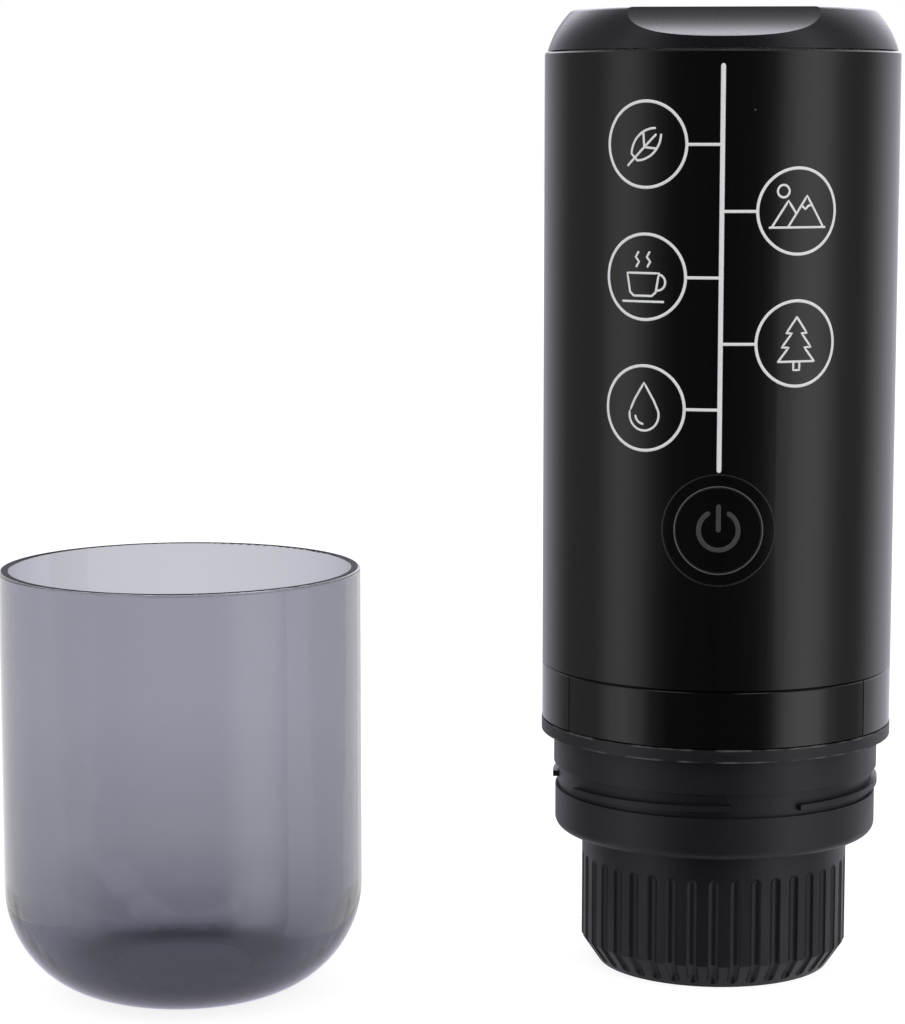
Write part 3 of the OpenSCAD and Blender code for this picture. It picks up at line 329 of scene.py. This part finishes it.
joined(card_tree, card_tree.nodes.new("ShaderNodeNewGeometry").outputs["Backfacing"], card_sides.inputs[0])
joined(card_tree, card_white.outputs[0], card_sides.inputs[1])
joined(card_tree, card_toned.outputs[0], card_sides.inputs[2])
joined(card_tree, card_sides.outputs[0], card_tree.nodes["Material Output"].inputs["Surface"])
card.data.materials.append(card_paint)
print("card has", len(card_tones), "tones on its back")

# %% [markdown]
# ## Shared surface effects
# Three effects come back on many finishes: the fine grain that a mould or a drawing tool leaves, specks of dust, and
# lighter grey patches along some edges. Each is a shader node group with named sockets. It is built once here and
# placed in every finish with its own values. Groups only put out masks; the Principled shader stays in each material.


# %% Fine grain
def effect(name, inputs, output):
    """An empty shader group with its named sockets, and the nodes that stand for its two ends."""
    group = bpy.data.node_groups.new(name, "ShaderNodeTree")
    for label, kind, value in inputs:
        socket = group.interface.new_socket(name=label, in_out="INPUT", socket_type=kind)
        if value is not None:
            socket.default_value = value
    group.interface.new_socket(name=output, in_out="OUTPUT", socket_type="NodeSocketFloat")
    return group, group.nodes.new("NodeGroupInput"), group.nodes.new("NodeGroupOutput")


grain, grain_in, grain_out = effect(
    "fine_grain",
    [("Vector", "NodeSocketVector", None), ("Scale", "NodeSocketFloat", 2000), ("Along", "NodeSocketFloat", 1)],
    "Grain",
)
stretch = grain.nodes.new("ShaderNodeCombineXYZ")
stretch.inputs["X"].default_value = stretch.inputs["Y"].default_value = 1
joined(grain, grain_in.outputs["Along"], stretch.inputs["Z"])
stretched = grain.nodes.new("ShaderNodeVectorMath")
stretched.operation = "MULTIPLY"
joined(grain, grain_in.outputs["Vector"], stretched.inputs[0])
joined(grain, stretch.outputs[0], stretched.inputs[1])
grain_noise = grain.nodes.new("ShaderNodeTexNoise")
grain_noise.inputs["Detail"].default_value = 3
joined(grain, stretched.outputs[0], grain_noise.inputs["Vector"])
joined(grain, grain_in.outputs["Scale"], grain_noise.inputs["Scale"])
joined(grain, spread(grain, grain_noise.outputs["Fac"], 0.3, 0.7), grain_out.inputs["Grain"])
print("effect:", grain.name)

# %% Dust specks
dust, dust_in, dust_out = effect(
    "dust_specks",
    [("Vector", "NodeSocketVector", None), ("Scale", "NodeSocketFloat", 400), ("Rarity", "NodeSocketFloat", 0.9)],
    "Specks",
)
dust_cells = dust.nodes.new("ShaderNodeTexVoronoi")
joined(dust, dust_in.outputs["Vector"], dust_cells.inputs["Vector"])
joined(dust, dust_in.outputs["Scale"], dust_cells.inputs["Scale"])
dust_chance = dust.nodes.new("ShaderNodeSeparateColor")
joined(dust, dust_cells.outputs["Color"], dust_chance.inputs[0])
dust_kept = reckoned(dust, "GREATER_THAN", dust_chance.outputs[0], dust_in.outputs["Rarity"])
dust_dots = spread(dust, dust_cells.outputs["Distance"], 0.012, 0.03, 1, 0)
joined(dust, reckoned(dust, "MULTIPLY", dust_kept, dust_dots), dust_out.inputs["Specks"])
print("effect:", dust.name)

# %% Pale edge patches
# A mask of noisy patches in a narrow band round one level, where a finish is made lighter grey.
edge_patch, edge_patch_in, edge_patch_out = effect(
    "pale_edge_patches",
    [("Vector", "NodeSocketVector", None), ("Level", "NodeSocketFloat", 0), ("Width", "NodeSocketFloat", 0.0004)],
    "Patches",
)
edge_patch_axes = edge_patch.nodes.new("ShaderNodeSeparateXYZ")
joined(edge_patch, edge_patch_in.outputs["Vector"], edge_patch_axes.inputs[0])
edge_patch_off = reckoned(edge_patch, "ABSOLUTE", reckoned(edge_patch, "SUBTRACT", edge_patch_axes.outputs["Z"], edge_patch_in.outputs["Level"]))
edge_patch_near = reckoned(edge_patch, "SUBTRACT", 1, reckoned(edge_patch, "DIVIDE", edge_patch_off, edge_patch_in.outputs["Width"]))
edge_patch_noise = edge_patch.nodes.new("ShaderNodeTexNoise")
edge_patch_noise.inputs["Scale"].default_value = 220
joined(edge_patch, edge_patch_in.outputs["Vector"], edge_patch_noise.inputs["Vector"])
edge_patch_spots = spread(edge_patch, edge_patch_noise.outputs["Fac"], 0.45, 0.7)
joined(edge_patch, reckoned(edge_patch, "MULTIPLY", reckoned(edge_patch, "MAXIMUM", edge_patch_near, 0), edge_patch_spots), edge_patch_out.inputs["Patches"])
print("effect:", edge_patch.name)

# %% [markdown]
# ## Finishes
# Every opaque finish of the machine follows one recipe: a colour that drifts a little between two tones, a roughness
# that drifts with it, and a fine bump, all led by the same grain. What makes a finish its own is the scale of that
# grain, how far it is drawn out along the axis, and how rough it is. Dust and lighter grey patches along some edges are
# added where they show.

# %% Recipe for opaque finishes
DUST_GREY, DUST_RARITY, DUST_COVER = (0.25, 0.25, 0.26), 0.93, 0.5
EDGE_PATCH_GREY, EDGE_PATCH_COVER, EDGE_PATCH_WIDTH = (0.22, 0.22, 0.226), 0.6, 0.4 * MM
SMEAR_SIZE, SMEAR_SHARE = 40, 0.6
COAT_ROUGHNESS = 0.06


def placed(tree, group, vector, **values):
    """A shared effect, placed in a finish with its own values. Its one output is returned."""
    node = tree.nodes.new("ShaderNodeGroup")
    node.node_tree = group
    joined(tree, vector, node.inputs["Vector"])
    for label, value in values.items():
        node.inputs[label].default_value = value
    return node.outputs[0]


def opaque(name, tones, rough, scale, bump, along=1, metallic=0, coat=0, specks=0, pale_edges=()):
    """A finish from two tones, a span of roughness, and a grain of some scale and depth in metres. Edges at the
    listed levels get lighter grey patches."""
    finish = bpy.data.materials.new(name)
    finish.use_nodes = True
    tree = finish.node_tree
    shader = tree.nodes["Principled BSDF"]
    where = tree.nodes.new("ShaderNodeTexCoord").outputs["Object"]
    fine = placed(tree, grain, where, Scale=scale, Along=along)
    smears = placed(tree, grain, where, Scale=scale / SMEAR_SIZE, Along=along)
    colour = toned(tree, fine, *tones)
    if specks:
        spotted = placed(tree, dust, where, Scale=specks, Rarity=DUST_RARITY)
        colour = toned(tree, reckoned(tree, "MULTIPLY", spotted, DUST_COVER), colour, DUST_GREY)
    # Lighter grey patches along the edges at these levels.
    for level in pale_edges:
        edge_patches = placed(tree, edge_patch, where, Level=level, Width=EDGE_PATCH_WIDTH)
        colour = toned(tree, reckoned(tree, "MULTIPLY", edge_patches, EDGE_PATCH_COVER), colour, EDGE_PATCH_GREY)
    joined(tree, colour, shader.inputs["Base Color"])
    from_fine = reckoned(tree, "MULTIPLY", fine, 1 - SMEAR_SHARE)
    from_smears = reckoned(tree, "MULTIPLY", smears, SMEAR_SHARE)
    drift = reckoned(tree, "ADD", from_fine, from_smears)
    joined(tree, spread(tree, drift, 0, 1, *rough), shader.inputs["Roughness"])
    relief = tree.nodes.new("ShaderNodeBump")
    relief.inputs["Distance"].default_value = bump
    joined(tree, fine, relief.inputs["Height"])
    joined(tree, relief.outputs["Normal"], shader.inputs["Normal"])
    shader.inputs["Metallic"].default_value = metallic
    shader.inputs["Coat Weight"].default_value = coat
    shader.inputs["Coat Roughness"].default_value = COAT_ROUGHNESS
    return finish


# %% [markdown]
# The outside has four blacks. The tube is satin, with the faint upright lines of a drawn tube. The band and the button
# are glossy. The collar and the brew cap are matt mouldings with a spark-eroded grain. The lid is a satin charcoal.
# Inside there are metals, white and black mouldings, soft rubber, sleeved cells and coated boards.

# %% Finishes by slot
FLANGE = 2.6 * MM
flange_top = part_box("front_panel")[0].z
# The collar's lower edge and both edges of the flange get lighter grey patches.
patched_edges = [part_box("collar")[0].z, flange_top - FLANGE, flange_top]
finishes = {
    "body_black": opaque(
        "body_black", ((0.0018, 0.0018, 0.0019), (0.0026, 0.0026, 0.0028)), (0.19, 0.27), 2600, 2e-6, 0.02, specks=150
    ),
    "gloss_black": opaque(
        "gloss_black", ((0.0018, 0.0018, 0.0019), (0.0026, 0.0026, 0.0028)), (0.06, 0.14), 900, 1e-6, specks=150
    ),
    "matte_black": opaque(
        "matte_black",
        ((0.0048, 0.0043, 0.0098), (0.0083, 0.0077, 0.0136)),
        (0.42, 0.56),
        3600,
        1.2e-5,
        specks=170,
        pale_edges=patched_edges,
    ),
    "lid_charcoal": opaque(
        "lid_charcoal", ((0.0054, 0.0050, 0.0094), (0.0080, 0.0075, 0.0124)), (0.24, 0.33), 3000, 4e-6, specks=170
    ),
    "inner_black": opaque("inner_black", ((0.018, 0.018, 0.019), (0.028, 0.028, 0.030)), (0.4, 0.55), 3000, 8e-6),
    "inner_white": opaque("inner_white", ((0.62, 0.61, 0.56), (0.72, 0.71, 0.66)), (0.35, 0.5), 2500, 8e-6),
    "steel": opaque("steel", ((0.50, 0.51, 0.53), (0.64, 0.65, 0.67)), (0.18, 0.36), 2200, 3e-6, 0.05, metallic=1),
    "ring_metal": opaque(
        "ring_metal", ((0.012, 0.012, 0.013), (0.018, 0.018, 0.019)), (0.25, 0.4), 4000, 3e-6, metallic=0.3
    ),
    "aluminium": opaque("aluminium", ((0.50, 0.51, 0.53), (0.60, 0.61, 0.63)), (0.3, 0.45), 2600, 5e-6, metallic=1),
    "brass": opaque("brass", ((0.52, 0.38, 0.15), (0.66, 0.50, 0.22)), (0.2, 0.35), 2600, 3e-6, metallic=1),
    "silicone": opaque("silicone", ((0.55, 0.55, 0.52), (0.64, 0.64, 0.61)), (0.45, 0.6), 1800, 8e-6),
    "silicone_red": opaque("silicone_red", ((0.34, 0.05, 0.03), (0.44, 0.08, 0.05)), (0.4, 0.55), 1800, 8e-6),
    "cell_sleeve": opaque("cell_sleeve", ((0.03, 0.12, 0.28), (0.05, 0.17, 0.36)), (0.2, 0.35), 700, 2e-5, 0.2),
    "board_green": opaque("board_green", ((0.012, 0.10, 0.04), (0.02, 0.15, 0.065)), (0.25, 0.4), 900, 1.5e-5),
    "tube_clear": opaque("tube_clear", ((0.62, 0.65, 0.67), (0.72, 0.75, 0.77)), (0.2, 0.3), 900, 4e-6, coat=0.5),
}
print("finishes:", len(finishes))

# %% [markdown]
# ## Smoked cup
# The cup is clear plastic with a grey dye in it, so a longer way through it is darker: the thick floor and the rim show
# that. A tint on the surface would miss it, so the dye is a Volume Absorption inside, and the surface stays colourless.
# About two thirds of the light is lost on the way through both walls. The surface keeps faint moulding lines in its
# roughness.

# %% Smoked plastic
smoke = bpy.data.materials.new("cup_smoke")
smoke.use_nodes = True
smoke_tree = smoke.node_tree
smoke_shader = smoke_tree.nodes["Principled BSDF"]
smoke_shader.inputs["Base Color"].default_value = (1, 1, 1, 1)
smoke_shader.inputs["Transmission Weight"].default_value = 1
smoke_shader.inputs["IOR"].default_value = 1.49
smoke_where = smoke_tree.nodes.new("ShaderNodeTexCoord").outputs["Object"]
flow = placed(smoke_tree, grain, smoke_where, Scale=60, Along=0.3)
joined(smoke_tree, spread(smoke_tree, flow, 0, 1, 0.01, 0.05), smoke_shader.inputs["Roughness"])
dye = smoke_tree.nodes.new("ShaderNodeVolumeAbsorption")
dye.inputs["Color"].default_value = (0.10, 0.115, 0.25, 1)
dye.inputs["Density"].default_value = 375
joined(smoke_tree, dye.outputs[0], smoke_tree.nodes["Material Output"].inputs["Volume"])
finishes["cup_smoke"] = smoke
for subpart in frame["record"]["subparts"]:
    node = frame["nodes"][subpart["node"]]
    node.data.materials.clear()
    node.data.materials.append(finishes[subpart["material_slot"]])

# %% [markdown]
# ## Printed lines
# The front of the tube carries a white print: an upright line with round badges beside it, each with a small picture.
# A print follows the tube, so it is drawn flat, as strokes on a sheet in millimetres, and then rolled round the axis.
# Blender's curves give a stroke its width, and balls round its ends. Rolled up, the strokes are only 0.03 mm thick.


# %% Strokes on a sheet
def stroke_mesh(strokes, width):
    """Strokes with round ends, from lists of (across, up) points in millimetres. A closed one repeats its start."""
    pen = bpy.data.curves.new("pen", "CURVE")
    pen.dimensions = "3D"
    pen.bevel_depth = width / 2
    pen.bevel_resolution = 2
    ends = []
    for points in strokes:
        closed = points[0] == points[-1]
        line = pen.splines.new("POLY")
        shown = points[:-1] if closed else points
        line.points.add(len(shown) - 1)
        line.use_cyclic_u = closed
        for spot, (across, up) in zip(line.points, shown):
            spot.co = (across, 0, up, 1)
        if not closed:
            ends += [points[0], points[-1]]
    holder = bpy.data.objects.new("pen", pen)
    bpy.context.collection.objects.link(holder)
    drawn = bpy.data.meshes.new_from_object(holder.evaluated_get(bpy.context.evaluated_depsgraph_get()))
    bpy.data.objects.remove(holder)
    ink = bmesh.new()
    ink.from_mesh(drawn)
    bpy.data.meshes.remove(drawn)
    for across, up in ends:
        ball = Matrix.Translation((across, 0, up))
        bmesh.ops.create_uvsphere(ink, u_segments=10, v_segments=6, radius=width / 2, matrix=ball)
    return ink


def as_piece(name, shape, body, finish, crease=180):
    """A finished shape as a piece that rides on a body. Edges that bend by more than the crease stay sharp."""
    bmesh.ops.recalc_face_normals(shape, faces=shape.faces)
    for face in shape.faces:
        face.smooth = True
    piece = as_object(name, shape)
    piece.data.set_sharp_from_angle(angle=math.radians(crease))
    piece.data.materials.append(finish)
    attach(piece, body)
    print(name, len(piece.data.polygons), "faces")


def inked(name, ink, radius, height, body, finish, proud=0.03, flat=False):
    """Strokes rolled round a tube's front at some height, as a piece. Flat ones are pressed straight back onto it."""
    reach = max(abs(spot.co.y) for spot in ink.verts)
    for spot in ink.verts:
        turn = math.asin(spot.co.x / radius) if flat else spot.co.x / radius
        out = radius - spot.co.y / reach * proud
        spot.co = Vector((out * math.sin(turn), -out * math.cos(turn), spot.co.z + height)) * MM
    as_piece(name, ink, body, finish)


def arc(across, up, radius, start, end, steps):
    """Points of an arc round a centre, in degrees from the right."""
    turns = [math.radians(start + (end - start) * i / steps) for i in range(steps + 1)]
    points = [(across + radius * math.cos(t), up + radius * math.sin(t)) for t in turns]
    if abs(end - start) == 360:
        points[-1] = points[0]
    return points


def fine_steps(points, step=0.8):
    """The same line with points at least as close as step, so that it can bend round the tube."""
    out = [points[0]]
    for (x0, z0), (x1, z1) in zip(points, points[1:]):
        count = max(1, math.ceil(math.hypot(x1 - x0, z1 - z0) / step))
        out += [(x0 + (x1 - x0) * i / count, z0 + (z1 - z0) * i / count) for i in range(1, count + 1)]
    return out


# %% [markdown]
# The five pictures are plain outdoor and coffee signs: a leaf, mountains, a cup, a pine and a drop. Each is drawn round
# the middle of its badge. The badges stand in turn to the left and to the right of the line.

# %% Pictures in the badges
leaf = [
    [(-4.2, -4.4), (-2.6, -2.8), (-0.4, -0.6), (2.2, 2.0)],
    arc(2.2, -2.2, 5.6, 92, 178, 20) + [(-2.6, -2.8)],
    arc(-2.2, 2.2, 5.6, -2, -88, 20) + [(-2.6, -2.8)],
    [(-0.4, -0.6), (-0.6, 2.2)],
    [(-0.4, -0.6), (2.4, -0.9)],
]
mountains = [
    [(-6.0, -3.4), (-2.3, 2.2), (-0.5, -0.5)],
    [(-2.4, -3.4), (2.0, 3.2), (6.0, -3.4)],
    [(-6.4, -3.4), (6.4, -3.4)],
    [(0.7, 1.2), (1.6, 0.4), (2.3, 1.1), (3.2, 1.3)],
    arc(-3.4, 4.2, 1.3, 0, 360, 24),
]
steaming_cup = [
    [(-4.2, 0.8), (-3.5, -3.2), (-2.6, -4.0), (1.6, -4.0), (2.5, -3.2), (3.2, 0.8), (-4.2, 0.8)],
    arc(2.9, -1.1, 1.7, 75, -95, 20),
    [(-5.2, -5.2), (4.2, -5.2)],
    [(-2.0, 2.2), (-1.4, 3.2), (-2.2, 4.2), (-1.6, 5.2)],
    [(0.6, 2.2), (1.2, 3.2), (0.4, 4.2), (1.0, 5.2)],
]
pine = [
    [(0, 5.6), (-2.4, 2.2), (-1.1, 2.2), (-3.4, -0.8), (-1.8, -0.8), (-4.2, -3.8)],
    [(0, 5.6), (2.4, 2.2), (1.1, 2.2), (3.4, -0.8), (1.8, -0.8), (4.2, -3.8)],
    [(-4.2, -3.8), (4.2, -3.8)],
    [(-0.7, -3.8), (-0.7, -5.6), (0.7, -5.6), (0.7, -3.8)],
]
drop = [
    [(0, 5.4), (-2.2, 1.8), (-3.3, -0.6)] + arc(0, -1.4, 3.4, 166, 374, 40) + [(2.2, 1.8), (0, 5.4)],
    arc(0, -1.4, 2.0, 190, 262, 14),
]
pictures = [leaf, mountains, steaming_cup, pine, drop]
print("strokes of the pictures:", [len(picture) for picture in pictures])

# %% Print on the tube
BADGE_R, BADGE_OUT, BADGE_TOP, BADGE_STEP = 8.3, 15.2, 170.0, 12.8
PICTURE_SCALE = 0.92
LINE_LOW, LINE_HIGH = 107.0, 185.0
badge_strokes, picture_strokes = [], []
for place, picture in enumerate(pictures):
    side = 1 if place % 2 else -1
    across, up = side * BADGE_OUT, BADGE_TOP - place * BADGE_STEP
    badge_strokes.append(arc(across, up, BADGE_R, 0, 360, 72))
    badge_strokes.append(fine_steps([(0, up), (across - side * BADGE_R, up)]))
    for line in picture:
        picture_strokes.append(fine_steps([(across + x * PICTURE_SCALE, up + z * PICTURE_SCALE) for x, z in line]))

print_white = opaque("print_white", ((0.80, 0.81, 0.84), (0.90, 0.91, 0.93)), (0.4, 0.55), 2200, 2e-6)
for name, strokes, width in (
    ("print_line", [[(0, LINE_LOW), (0, LINE_HIGH)]], 0.95),
    ("print_badges", badge_strokes, 0.62),
    ("print_pictures", picture_strokes, 0.46),
):
    inked(name, stroke_mesh(strokes, width), TUBE_R, 0, "machine", print_white)

# %% [markdown]
# ## Button
# The button cap follows the tube and has the usual power sign on it, in a grey that hardly stands out. The thin ring
# round the cap is a rounded bead, and a finer rim runs round the bezel. Each catches a line of light, and each is also
# painted lighter than the black round it, so part of that line is a painted highlight. All of them are pressed straight
# back onto the curved face rather than rolled, because the button is cut along one direction.

# %% Power sign, ring and rim
button_low, button_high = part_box("power_button")
BUTTON_Z = (button_low.z + button_high.z) / 2 / MM
CAP_R = -button_low.y / MM
SIGN_R, SIGN_FROM, SIGN_TO, SIGN_STEM = 3.86, 122, 418, [(0, 0.1), (0, 4.7)]
RIM_R = 10.95
SIGN_WIDTH, RIM_WIDTH, BEAD_WIDTH = 0.95, 0.3, 0.24
RING_MID = (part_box("light_ring")[1].x + button_high.x) / 2 / MM
sign_grey = opaque("sign_grey", ((0.050, 0.050, 0.053), (0.060, 0.060, 0.064)), (0.4, 0.5), 2400, 2e-6)
sign = stroke_mesh([arc(0, 0, SIGN_R, SIGN_FROM, SIGN_TO, 60), SIGN_STEM], SIGN_WIDTH)
inked("power_sign", sign, CAP_R, BUTTON_Z, "power_button", sign_grey, flat=True)
# The rim's grey is lighter than the gloss black round it: a raised rim, and partly a painted highlight on its edge.
rim_grey_and_highlight = opaque("rim_grey_and_highlight", ((0.014, 0.014, 0.015), (0.020, 0.020, 0.022)), (0.25, 0.35), 2400, 2e-6)
rim = stroke_mesh([arc(0, 0, RIM_R, 0, 360, 96)], RIM_WIDTH)
inked("bezel_rim", rim, TUBE_R, BUTTON_Z, "machine", rim_grey_and_highlight, proud=0.08, flat=True)
# The bead's pale silver is partly a painted highlight: the ring's own metal is dark, like ring_metal.
bead_metal_and_highlight = opaque("bead_metal_and_highlight", ((0.11, 0.11, 0.115), (0.15, 0.15, 0.157)), (0.25, 0.4), 4000, 3e-6, metallic=0.3)
bead = stroke_mesh([arc(0, 0, RING_MID, 0, 360, 96)], BEAD_WIDTH)
inked("ring_bead", bead, TUBE_R, BUTTON_Z, "machine", bead_metal_and_highlight, proud=0.1, flat=True)

# %% [markdown]
# ## Screw threads
# The lid and the brew cap are screwed on. Their CAD solids are plain cylinders with 0.3 mm of room, and they show when
# they are turned out, so each gets a thread: a low ridge that winds round it. Spin carries the ridge's profile round
# the axis, and dvec lifts it a little at every step. A thread has to stay in its own track while it turns out, so its
# lead is that of the joint: 3 mm a turn for the lid, and 4 mm for the cap.

# %% Threads
STEPS_A_TURN = 96
LID_LEAD, LID_MARGIN = 3, 1.2
CAP_LEAD, CAP_LOW_MARGIN, CAP_HIGH_MARGIN = 4, 0.9, 1
SPIGOT_INSET = 1
RIDGE_PROFILE = [(-0.3, -0.75), (0.22, -0.25), (0.22, 0.25), (-0.3, 0.75)]


def thread(name, radius, low, high, lead, body, slot):
    """A ridge round a cylinder, between two levels in millimetres. It rises by the lead with each turn to the left."""
    ridge = bmesh.new()
    corners = [ridge.verts.new((radius + out, 0, low + up)) for out, up in RIDGE_PROFILE]
    sides = [ridge.edges.new(pair) for pair in zip(corners, corners[1:] + corners[:1])]
    turns = (high - low) / lead
    steps = round(STEPS_A_TURN * turns)
    lift = (0, 0, (high - low) / steps)
    bmesh.ops.spin(ridge, geom=corners + sides, axis=(0, 0, 1), angle=math.tau * turns, steps=steps, dvec=lift)
    bmesh.ops.holes_fill(ridge, edges=[edge for edge in ridge.edges if edge.is_boundary])
    bmesh.ops.scale(ridge, verts=ridge.verts, vec=(MM, MM, MM))
    as_piece(name, ridge, body, finishes[slot], crease=35)


plug_low, plug_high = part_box("lid_plug")
thread_low, thread_high = plug_low.z / MM + LID_MARGIN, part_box("lid_shell")[0].z / MM - LID_MARGIN
thread("lid_thread", plug_high.x / MM, thread_low, thread_high, LID_LEAD, "lid", "inner_black")
cap_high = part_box("brew_cap")[1]
spigot_r = cap_high.x / MM - SPIGOT_INSET
thread_low, thread_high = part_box("collar")[0].z / MM + CAP_LOW_MARGIN, cap_high.z / MM - CAP_HIGH_MARGIN
thread("cap_thread", spigot_r, thread_low, thread_high, CAP_LEAD, "brew_cap", "matte_black")

# %% [markdown]
# ## Charging socket
# The socket at the back is a steel shell. Inside a real one lies a thin black tongue with gilt contacts on both faces.
# The tongue is a block that is bevelled all round, and the contacts are small bevelled strips that stand out of it by
# a hair.

# %% Tongue and contacts
SOCKET_DEPTH = 7 * MM
TONGUE_SIZE, TONGUE_BEVEL = Vector((6.7, 5.8, 0.7)) * MM, 0.15 * MM
CONTACT_SIZE, CONTACT_BEVEL = Vector((0.32, 3.6, 0.08)) * MM, 0.02 * MM
CONTACT_PITCH, CONTACT_IN = 0.5 * MM, 3.2 * MM
socket_low, socket_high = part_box("usb_socket")
socket_z = (socket_low.z + socket_high.z) / 2
socket_floor = socket_high.y - SOCKET_DEPTH


def block(shape, size, place, soft):
    """A bevelled block in a shape, by its size and the place of its middle in metres."""
    spots = bmesh.ops.create_cube(shape, size=1)["verts"]
    bmesh.ops.scale(shape, verts=spots, vec=size)
    bmesh.ops.translate(shape, verts=spots, vec=place)
    rims = list({edge for spot in spots for edge in spot.link_edges})
    bmesh.ops.bevel(shape, geom=rims, offset=soft, segments=2, profile=0.5, affect="EDGES", material=-1)


tongue = bmesh.new()
block(tongue, TONGUE_SIZE, (0, socket_floor + TONGUE_SIZE.y / 2, socket_z), TONGUE_BEVEL)
as_piece("socket_tongue", tongue, "machine", finishes["inner_black"], crease=35)
contacts = bmesh.new()
for across in range(-5, 6, 2):
    for face in (-1, 1):
        spot = (across * CONTACT_PITCH, socket_floor + CONTACT_IN, socket_z + face * TONGUE_SIZE.z / 2)
        block(contacts, CONTACT_SIZE, spot, CONTACT_BEVEL)
as_piece("socket_contacts", contacts, "machine", finishes["brass"], crease=35)
